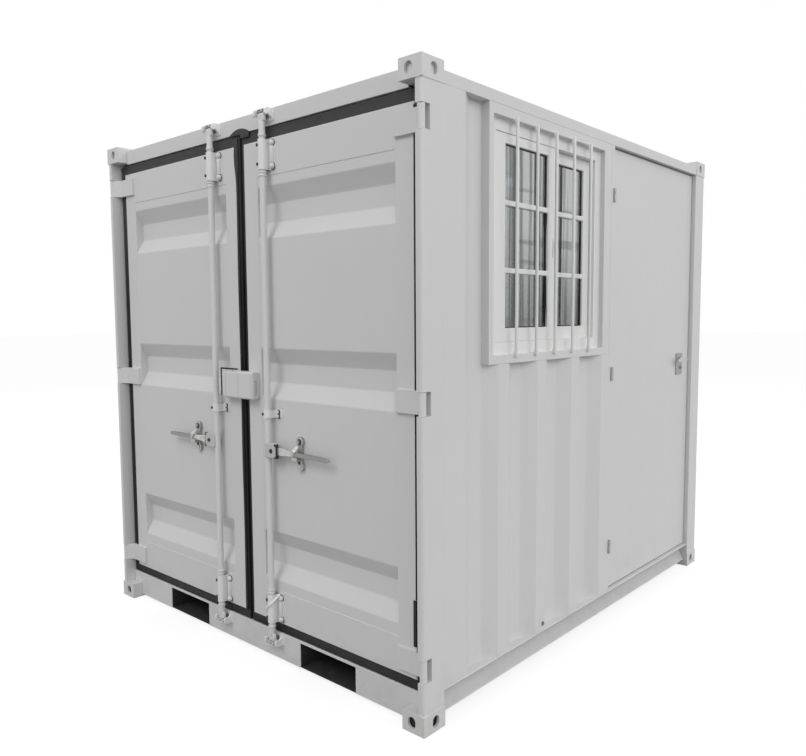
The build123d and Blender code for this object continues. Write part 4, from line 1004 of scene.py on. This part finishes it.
for side, name in leaf_sides:
    rod_low, rod_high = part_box(name + "_lock_rod")
    guide_low, guide_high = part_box(name + "_rod_guides")
    axis_x, axis_y = joint_place(name + "_rod_turn")
    _, handle_y, handle_z = middle(name + "_rod_handle")
    foot, head = rod_low.z + CAM_HEIGHT - CAM_LAP, rod_high.z - CAM_HEIGHT + CAM_LAP
    low_top, high_foot = guide_low.z + BRACKET_HEIGHT, guide_high.z - BRACKET_HEIGHT
    rings = [(guide_low.z - 0.022, 0.012), (low_top + 0.004, 0.009), (low_top + 0.017, 0.009)]
    rings += [(high_foot - 0.026, 0.009), (high_foot - 0.013, 0.009), (guide_high.z + 0.010, 0.012)]
    profile = [(ROD_RADIUS * 0.86, 0.0), (ROD_RADIUS * 0.97, 0.0015), (ROD_RADIUS, 0.004)]
    for start, height in rings:
        low, high = start - foot, start - foot + height
        profile += [(ROD_RADIUS, low - 0.0006), (ROD_RADIUS, low), (ROD_RADIUS + LIP_OUT, low + 0.0010)]
        profile += [(ROD_RADIUS + RING_OUT, low + 0.0024), (ROD_RADIUS + RING_OUT, high - 0.0024)]
        profile += [(ROD_RADIUS + LIP_OUT, high - 0.0010), (ROD_RADIUS, high), (ROD_RADIUS, high + 0.0006)]
    reach = head - foot
    profile += [(ROD_RADIUS, reach - 0.004), (ROD_RADIUS * 0.97, reach - 0.0015), (ROD_RADIUS * 0.86, reach)]
    rod_parts = [turned(profile, (axis_x, axis_y, foot), (0, 0, 1), 32)]
    round_half = np.linspace(-np.pi / 2, np.pi / 2, 9)
    arm = (rod_high.x - axis_x if side < 0 else axis_x - rod_low.x) - CAM_HALF
    tip = np.stack([arm + CAM_HALF * np.cos(round_half), CAM_HALF * np.sin(round_half)], -1)
    stadium = np.vstack([tip, -tip])
    for z0 in (rod_low.z, rod_high.z - CAM_HEIGHT):
        levels = [(0.0, 0.80), (0.0015, 0.93), (0.004, 1.0)]
        levels += [(CAM_HEIGHT - h, share) for h, share in levels[::-1]]
        flats = [((axis_x, axis_y) + stadium * share, z0 + h) for h, share in levels]
        rod_parts.append(skin([np.column_stack([flat, np.full(len(flat), z)]) for flat, z in flats]))
    piece = gathered(name + "_rod_bar", rod_parts, rod_paint, name + "_rod", smooth=34.0)
    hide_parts(name + "_lock_rod")
    block_start = (axis_x - side * 0.004, handle_y - 0.0100, handle_z - HUB_HALF)
    hub = [plate(block_start, (axis_x + side * 0.029, handle_y + 0.0080, handle_z + HUB_HALF))]
    for y in (handle_y - 0.0125, handle_y + 0.0065):
        cheek_end = (axis_x + side * CHEEK_REACH, y + CHEEK_THICK, handle_z + CHEEK_HALF)
        hub.append(plate((axis_x - side * 0.002, y, handle_z - CHEEK_HALF), cheek_end))
    edged(gathered(name + "_rod_hub", hub, hub_paint, name + "_rod"), 0.0028, 3)
    pivot_x, end_x = axis_x + side * PIVOT_REACH, axis_x + side * (CHEEK_REACH + 0.001)
    fixings = [bolt_head((pivot_x - side * 0.014, handle_y - 0.0123, handle_z), (0, -1, 0), 0.0066)]
    strip_start = (axis_x + side * 0.0675, handle_y - 0.0128, handle_z - 0.030)
    fixings.append(plate(strip_start, (end_x, handle_y + 0.002, handle_z + 0.030)))
    for z in (handle_z - HUB_HALF, handle_z + HUB_HALF):
        fixings.append(screw_head((end_x - side * 0.001, handle_y - 0.006, z), (side, 0, 0), 0.0048))
        fixings.append(screw_head((pivot_x + side * 0.011, handle_y - 0.0122, z), (0, -1, 0), 0.0050))
    gathered(name + "_hub_fixings", fixings, bolt_black, name + "_rod")


# Rod brackets and guides: steel strap pressed round the rod with a flange on each side, bolted through
# the leaf. The end brackets have an upright ridge between two bolt bosses on their right flange, and a
# thin band is tied at the lower bracket of the right leaf. Black rings under the bosses and under the
# middle guide's bolt heads are painted shadow.
STRAP_THICK, ROD_GAP, STRAP_BEND = 0.0036, 0.0007, 0.0050


def bracket(axis_x, axis_y, face_y, z0, z1, wide, corner):
    """Strap round a rod: flange, wall, half a turn round the rod, wall, flange; the flanges' reach falls
    along a quarter circle at both ends."""
    outer, flange = ROD_RADIUS + ROD_GAP + STRAP_THICK, face_y - STRAP_THICK
    left = rounded([(-wide, flange), (-outer, flange), (-outer, axis_y)], STRAP_BEND)
    turn = np.linspace(np.pi, 0.0, 17)[1:-1]
    crown = np.stack([outer * np.cos(turn), axis_y - outer * np.sin(turn)], -1)
    right = left[::-1] * np.array([-1.0, 1.0])
    line = np.vstack([left, crown, right])
    steps = np.linspace(0.0, np.pi / 2, 6)
    ends = corner * (1.0 - np.cos(steps))
    levels = np.concatenate([z0 + ends, z1 - ends[::-1]])

    def place(run, drop, level):
        short = corner - min(level - z0, z1 - level, corner)
        reach = wide - corner + math.sqrt(max(corner ** 2 - short ** 2, 0.0))
        return axis_x + np.clip(run, -reach, reach), drop, np.full_like(run, level)

    return strip(line, STRAP_THICK, place, levels)


WALL_BOLT = [(0.0054, 0.0), (0.0054, 0.0016), (0.0064, 0.0018, 1), (0.0064, 0.0064, 1), (0.0052, 0.0074, 1)]
BOSS = [(0.0122, 0.0), (0.0118, 0.004), (0.0100, 0.0095), (0.0066, 0.0120), (0.0020, 0.0128)]
BOSS_SHADOW_RING = [(0.0150, 0.0), (0.0150, 0.0014), (0.0136, 0.0020)]
WALL_PLACE = (-0.0100, -0.0135, 0.0)
END_WIDE, END_CORNER, RIDGE_X, BOSS_INSET, BOLT_INSET = 0.050, 0.014, 0.036, 0.014, 0.022
MIDDLE_WIDE, MIDDLE_CORNER, MIDDLE_HALF, MIDDLE_RISE, PAIR_HALF = 0.060, 0.008, 0.016, 0.876, 0.0085
for side, name in leaf_sides:
    guide_low, guide_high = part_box(name + "_rod_guides")
    leaf_low, leaf_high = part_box(name + "_leaf_frame")
    (axis_x, axis_y), face_y = joint_place(name + "_rod_turn"), leaf_low.y
    mid_z, panel_y = leaf_low.z + MIDDLE_RISE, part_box(name + "_leaf_panel")[0].y
    straps, bosses, dark = [], [], []
    ridge_x, flange_y = axis_x + RIDGE_X, face_y - STRAP_THICK
    bolt_x, bolt_y = axis_x + WALL_PLACE[0], axis_y + WALL_PLACE[1]
    for z0 in (guide_low.z, guide_high.z - BRACKET_HEIGHT):
        z1 = z0 + BRACKET_HEIGHT
        straps.append(bracket(axis_x, axis_y, face_y, z0, z1, END_WIDE, END_CORNER))
        ridge = [(0.0040, 0.0), (0.0080, 0.002), (0.0098, 0.008), (0.0098, z1 - z0 - 0.058)]
        ridge += [(0.0080, z1 - z0 - 0.052), (0.0040, z1 - z0 - 0.050)]
        bosses.append(turned(ridge, (ridge_x, flange_y - 0.0025, z0 + 0.025), (0, 0, 1), 16))
        for z in (z0 + BOSS_INSET, z1 - BOSS_INSET):
            bosses.append(turned(BOSS, (ridge_x, flange_y - 0.0010, z), (0, -1, 0), 20))
            # Black ring under the boss: painted shadow round its foot.
            dark.append(turned(BOSS_SHADOW_RING, (ridge_x, flange_y + 0.0003, z), (0, -1, 0), 20))
        for z in (z0 + BOLT_INSET, z1 - BOLT_INSET):
            dark.append(turned(WALL_BOLT, (bolt_x, bolt_y, z), WALL_PLACE, 24))
    z0, z1 = mid_z - MIDDLE_HALF, mid_z + MIDDLE_HALF
    straps.append(bracket(axis_x, axis_y, panel_y, z0, z1, MIDDLE_WIDE, MIDDLE_CORNER))
    for z in (mid_z - PAIR_HALF, mid_z + PAIR_HALF):
        # Wide black dome under each bolt head: painted shadow round the head.
        dark.append(screw_head((axis_x + 0.040, panel_y - 0.0034, z), (0, -1, 0), 0.0098))
        bosses.append(bolt_head((axis_x + 0.039, panel_y - 0.0085, z), (0, -1, 0), 0.0050))
    dark.append(turned(WALL_BOLT, (bolt_x, bolt_y, mid_z), WALL_PLACE, 24))
    if side > 0:
        foot = guide_low.z
        tie = [(axis_x + 0.037, face_y - 0.0135, foot + 0.122)]
        for x, y, z in ((0.014, -0.0190, 0.085), (-0.006, -0.0215, 0.070), (-0.017, -0.0180, 0.060)):
            tie.append((axis_x + x, axis_y + y, foot + z))
        band = [(-0.0048, -0.0012), (0.0048, -0.0012), (0.0048, 0.0012), (-0.0048, 0.0012)]
        post_end = (axis_x - 0.0465, face_y - 0.003, foot + 0.104)
        post = plate((axis_x - 0.0490, face_y - 0.020, foot + 0.028), post_end)
        gathered("seal_band", [swept(band, tie, (0, 1, 0)), post], bright_paint, name + "_leaf")
    piece = gathered(name + "_guide_straps", straps, bright_paint, name + "_leaf", smooth=34.0)
    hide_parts(name + "_rod_guides")
    gathered(name + "_guide_bosses", bosses, rod_paint, name + "_leaf")
    gathered(name + "_guide_bolts", dark, bolt_black, name + "_leaf")


# Rod keepers: a forged base plate on the header or sill with a hooked jaw each side of the cam, joined
# by a bridge at the far end. Plate, jaws and bridge are welded together and to the frame. Near-black
# plates between the jaws and on the bridge's front are painted shadow.
keeper_low, keeper_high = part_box("rod_keepers")
KEEPER_HALF, JAW_INNER, JAW_WIDE, KEEPER_HEIGHT, KEEPER_BEAD = 0.044, 0.029, 0.009, 0.046, 0.0024
# Near-black enamel for painted shadow in the keepers.
keeper_shadow_paint = enamel("recess_enamel", 0.200, gloss=0.50)
jaw = [(0.0, 0.002), (0.0, 0.046), (0.030, 0.046), (0.0395, 0.040)]
jaw += [(0.0395, 0.022), (0.030, 0.016), (0.024, 0.024), (0.012, 0.014)]
jaw_out, jaw_rise = rounded(jaw, 0.0035, closed=True, steps=6).T
face = keeper_high.y


def keeper_block(x, half, front, back, z0, z1):
    """Block centred on x, from front to back ahead of the frame's face, between two heights."""
    return plate((x - half, face - front, z0), (x + half, face - back, z1))


keepers, keeper_welds, keeper_shadow_plates = [], [], []
for axis_x in (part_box("right_lock_rod")[0].x + 0.021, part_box("left_lock_rod")[1].x - 0.021):
    left_x, right_x = axis_x - KEEPER_HALF, axis_x + KEEPER_HALF
    for flip, base in ((1, keeper_high.z - KEEPER_HEIGHT), (-1, keeper_low.z + KEEPER_HEIGHT)):
        far_z, near_z = base - flip * 0.001, base + flip * (KEEPER_HEIGHT + 0.0015)
        keepers.append(keeper_block(axis_x, KEEPER_HALF, 0.0034, 0.0, far_z, near_z))
        for inner_x in (axis_x - JAW_INNER - JAW_WIDE, axis_x + JAW_INNER):
            rows = []
            for x in (inner_x, inner_x + JAW_WIDE):
                rows.append(np.stack([np.full_like(jaw_out, x), face - jaw_out, base + flip * jaw_rise], -1))
            keepers.append(skin(rows))
        keepers.append(keeper_block(axis_x, JAW_INNER, 0.028, 0.0, base + flip * 0.037, base + flip * 0.046))
        low, high = sorted((far_z, near_z))
        for x in (left_x, right_x):
            keeper_welds.append(weld((x, face, low + 0.002), (x, face, high - 0.002), KEEPER_BEAD))
        keeper_welds.append(weld((left_x, face, far_z), (right_x, face, far_z), KEEPER_BEAD))
        # Dark plates: painted shadow behind the cam between the jaws, and two slot marks on the bridge's front.
        keeper_shadow_plates.append(keeper_block(axis_x, 0.018, 0.0042, 0.0030, base + flip * 0.012, base + flip * 0.030))
        slot = (base + flip * 0.0385, base + flip * 0.0435)
        for x in (axis_x - 0.013, axis_x + 0.013):
            keeper_shadow_plates.append(keeper_block(x, 0.009, 0.0290, 0.0270, *slot))
keeper_piece = edged(gathered("keeper_forgings", keepers, bright_paint), 0.0012)
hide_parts("rod_keepers")
gathered("keeper_recesses", keeper_shadow_plates, keeper_shadow_paint)
gathered("keeper_welds", keeper_welds, rail_paint)


# Rod handles: flat bar forged down to a rounded grip and zinc-plated. Each is pinned in its rod's hub and
# turns with the rod.
HANDLE_FALL = 0.002
handle_zinc = zinc("handle_zinc", 0.26, 0.32, painted_highlight=1.1)
lap = np.linspace(0.0, 2 * np.pi, 20, endpoint=False)
sine, cosine = np.sin(lap), np.cos(lap)
GRIP_OUTLINE = np.stack([0.0168 * np.sign(sine) * np.abs(sine) ** 0.6,
                         0.0052 * np.sign(cosine) * np.abs(cosine) ** 0.6], -1)
for side, name in leaf_sides:
    handle_low, handle_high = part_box(name + "_rod_handle")
    _, handle_y, handle_z = middle(name + "_rod_handle")
    axis_x, axis_y = joint_place(name + "_rod_turn")
    start_x, tip_x = axis_x + side * 0.036, handle_high.x if side > 0 else handle_low.x
    share = np.concatenate([[0.0], np.linspace(0.04, 0.90, 22), [0.94, 0.97, 0.99, 1.0]])
    x = start_x + share * (tip_x - start_x)
    z = handle_z - HANDLE_FALL * np.clip((share - 0.12) / 0.88, 0.0, 1.0) ** 1.2
    path = np.stack([x, np.full_like(x, handle_y), z], -1)
    stops = [0.0, 0.14, 0.30, 0.62, 0.90, 0.97, 1.0]
    wide = np.interp(share, stops, [1.0, 1.0, 0.66, 0.56, 0.56, 0.46, 0.18])
    thick = np.interp(share, stops, [1.0, 1.0, 1.0, 1.05, 1.05, 0.80, 0.35])
    twist = side * 0.28 * np.exp(-(((share - 0.22) / 0.07) ** 2))
    grip = swept(GRIP_OUTLINE, path, (0, 1, 0), twist, np.stack([wide, thick], -1))
    piece = gathered(name + "_handle_grip", [grip], handle_zinc, name + "_rod", 50.0)
    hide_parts(name + "_rod_handle")


# Handle catches: a lobed plate of zinc-plated steel bolted through each leaf, with the shelf that the handle
# lies on. A short hasp strap is riveted to the handle and hangs from just under the catch's upper bolt.
LOBE_RADIUS, NECK_HALF, UPPER_LOBE, LOWER_LOBE, PLATE_EDGE = 0.020, 0.013, 0.047, -0.050, 0.0018
CATCH_PROUD, SHELF_THICK, SHELF_TOP, SHELF_LIP, SHELF_FOOT = 0.012, 0.002, -0.019, -0.012, -0.026


def lobed(inset):
    """Outline of the catch across and up: each height is as wide as the wider of two circles and the neck."""
    radius, quarter = LOBE_RADIUS - inset, np.linspace(0.0, np.pi / 2, 9)
    height = np.concatenate([
        LOWER_LOBE - radius * np.cos(quarter),
        np.linspace(LOWER_LOBE, UPPER_LOBE, 26)[1:-1],
        UPPER_LOBE + radius * np.sin(quarter),
    ])
    low = np.sqrt(np.clip(radius ** 2 - (height - LOWER_LOBE) ** 2, 0.0, None))
    high = np.sqrt(np.clip(radius ** 2 - (height - UPPER_LOBE) ** 2, 0.0, None))
    neck = np.where((height > LOWER_LOBE) & (height < UPPER_LOBE), NECK_HALF - inset, 0.0)
    reach = np.maximum.reduce([low, high, neck])
    return np.concatenate([reach, -reach[1:-1][::-1]]), np.concatenate([height, height[1:-1][::-1]])


strap = [(-0.0085, -0.0015), (0.0085, -0.0015), (0.0085, 0.0015), (-0.0085, 0.0015)]
strap = rounded(strap, 0.0012, closed=True, steps=3)
forward = (0, -1, 0)
for side, name in leaf_sides:
    catch_low, catch_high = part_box(name + "_handle_catch")
    catch_x, handle_z = middle(name + "_handle_catch")[0], middle(name + "_rod_handle")[2]
    face_y, back_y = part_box(name + "_leaf_frame")[0].y - CATCH_PROUD, catch_high.y
    bevel, upper_z = PLATE_EDGE * 0.3, handle_z + UPPER_LOBE - 0.001
    rows, profile = [], [(0.0, back_y), (0.0, face_y + PLATE_EDGE)]
    for inset, y in profile + [(bevel, face_y + bevel), (PLATE_EDGE, face_y)]:
        across, height = lobed(inset)
        rows.append(np.stack([catch_x + across, np.full_like(across, y), handle_z + height], -1))
    catch = [skin(rows)]
    root_y, lip_y, shelf_half = back_y - 0.010, catch_low.y, NECK_HALF * 1.2
    shelf = [(root_y, SHELF_TOP), (lip_y + SHELF_THICK, SHELF_TOP), (lip_y + SHELF_THICK, SHELF_LIP)]
    shelf += [(lip_y, SHELF_LIP), (lip_y, SHELF_FOOT), (root_y, SHELF_FOOT)]
    ends = (catch_x - shelf_half, catch_x + shelf_half)
    catch.append(skin([[(x, y, handle_z + z) for y, z in shelf] for x in ends]))
    catch.append(screw_head((catch_x, face_y + 0.0004, handle_z + LOWER_LOBE), forward, 0.0105))
    piece = edged(gathered(name + "_catch_plate", catch, bright_zinc, name + "_leaf"), 0.0008)
    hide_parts(name + "_handle_catch")
    dark = [screw_head((catch_x, face_y + 0.0006, upper_z), forward, 0.0125)]
    dark.append(screw_head((catch_x - 0.001, face_y + 0.0006, handle_z - 0.0345), forward, 0.0075))
    gathered(name + "_catch_washers", dark, bolt_black, name + "_leaf")
    bolts = [bolt_head((catch_x, face_y - 0.0062, upper_z), forward, 0.0062)]
    gathered(name + "_catch_bolt", bolts, bright_zinc, name + "_leaf")
    front = middle(name + "_rod_handle")[1] - 0.0052
    hang = [(0.002, face_y - 0.0100, 0.032), (0.001, face_y - 0.0120, 0.028), (-0.005, front - 0.0022, 0.012)]
    hang += [(x, front - 0.0012, z) for x, z in ((-0.008, 0.006), (-0.013, -0.006), (-0.014, -0.009))]
    sizes = [(0.7, 0.8), (1.0, 1.0), (1.0, 1.0), (1.0, 1.0), (0.9, 1.0), (0.6, 0.8)]
    hasp = [swept(strap, np.array(hang) + [catch_x, 0.0, handle_z], (0, 1, 0), None, sizes)]
    hasp.append(screw_head((catch_x - 0.010, front - 0.0024, handle_z + 0.001), forward, 0.0038))
    gathered(name + "_hasp", hasp, bright_zinc, name + "_rod")


# Lock box: a steel cover over the padlock, folded in two halves that meet on the leaves' edges, with a
# collared slot for the key in each outer side. It is welded to the leaves and painted with them, and a
# strip of black rubber edges its left half against the leaf; its black is painted shadow for the gap there.
BOX_CORNER, BOX_WALL, BOX_EDGE, BOX_MEETING = 0.0085, 0.004, 0.006, 0.0008
SLOT_HALF_DEEP, SLOT_HALF_TALL, SLOT_DROP = 0.0085, 0.029, 0.006
COLLAR_MARGIN, COLLAR_OUT, COLLAR_WIDE = 0.0015, 0.0022, 0.0024
box_paint = enamel("box_enamel", peel=0.9)


def round_rectangle(y0, y1, z0, z1, radius):
    """Outline in depth and height with rounded corners."""
    return rounded([(y0, z0), (y1, z0), (y1, z1), (y0, z1)], radius, closed=True, steps=5, hold=0.0002)


def slot_outline(y, z, margin, radius):
    """Outline of the key slot centred on y and z, wider all round by the margin."""
    deep, tall = SLOT_HALF_DEEP + margin, SLOT_HALF_TALL + margin
    return round_rectangle(y - deep, y + deep, z - tall, z + tall, radius)


turns = np.linspace(0.0, 2 * np.pi, 8, endpoint=False)
for side, name in leaf_sides:
    box_low, box_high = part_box(name + "_lock_box")
    outer_x = max(abs(box_low.x), abs(box_high.x))
    front, back_y, z0, z1 = box_low.y, box_high.y, box_low.z, box_high.z
    foot, top = z0 + 0.0003, z1 - 0.0003
    fold = rounded([(foot, back_y), (foot, front), (top, front), (top, back_y)], BOX_CORNER, steps=6)
    cover_ends = (BOX_MEETING, outer_x - BOX_EDGE + 0.0005)
    cover = strip(fold, BOX_WALL * 0.75, lambda run, drop, reach: (side * reach, drop, run), cover_ends)
    slot_y, slot_z = (front + back_y) / 2 - 0.003, (z0 + z1) / 2 - SLOT_DROP
    slot = slot_outline(slot_y, slot_z, 0.0, 0.0065)
    rings = [(slot, outer_x - BOX_WALL), (slot, outer_x)]
    for turn in np.linspace(np.pi / 2, 0.0, 6):
        pull = BOX_EDGE * (1.0 - math.cos(turn))
        ring = round_rectangle(front + pull, back_y - pull * 0.02, z0 + pull, z1 - pull, BOX_CORNER - pull)
        rings.append((ring, outer_x - BOX_EDGE * (1.0 - math.sin(turn))))
    rings.append((rings[-1][0], outer_x - BOX_EDGE - 0.001))
    rows = [np.column_stack([np.full(len(ring), side * reach), ring]) for ring, reach in rings]
    side_wall = skin(rows, loop=True)
    guard_end = (side * (outer_x - 0.0045), back_y, z1 - 0.008)
    guard = plate((side * (outer_x - 0.0060), front + 0.006, z0 + 0.008), guard_end)
    collar_line = slot_outline(slot_y, slot_z, COLLAR_MARGIN, 0.0080)
    ways = collar_line - collar_line.mean(0)
    ways /= np.linalg.norm(ways, axis=1)[:, None]
    rows, collar_x = [], side * (outer_x + COLLAR_OUT * np.cos(turns))
    for point, way in zip(collar_line, ways):
        y, z = point[:, None] + COLLAR_WIDE * np.sin(turns) * way[:, None]
        rows.append(np.stack([collar_x, y, z], -1))
    collar = skin(rows, loop=True)
    parts = [cover, side_wall, guard, collar]
    cover_piece = gathered(name + "_box_cover", parts, box_paint, name + "_leaf", smooth=34.0)
    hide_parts(name + "_lock_box")
    if side < 0:
        hood_x, hood_y = -outer_x - 0.022, front + 0.002
        hood = [plate((hood_x, hood_y, z0 + 0.006), (-outer_x + 0.004, hood_y + 0.004, z1 + 0.006))]
        hood.append(plate((hood_x, hood_y, z0 + 0.006), (hood_x + 0.004, back_y, z1 + 0.006)))
        hood.append(plate((-outer_x + 0.004, hood_y, z1 - 0.001), (-0.040, hood_y + 0.004, z1 + 0.006)))
        edged(gathered("box_hood", hood, box_paint, "left_leaf"), 0.0012)
        # Black rubber strip round the hood's left and top edges: painted shadow for the gap behind the hood.
        trim_x, trim_y, trim_back, trim_z = hood_x - 0.0070, hood_y - 0.001, hood_y + 0.006, z1 + 0.0120
        trim = [plate((trim_x, trim_y, z0 + 0.008), (hood_x + 0.0015, trim_back, trim_z))]
        trim.append(plate((trim_x, trim_y, z1 + 0.0055), (-0.008, trim_back, trim_z)))
        edged(gathered("box_rubber", trim, gasket_rubber, "left_leaf"), 0.0012)
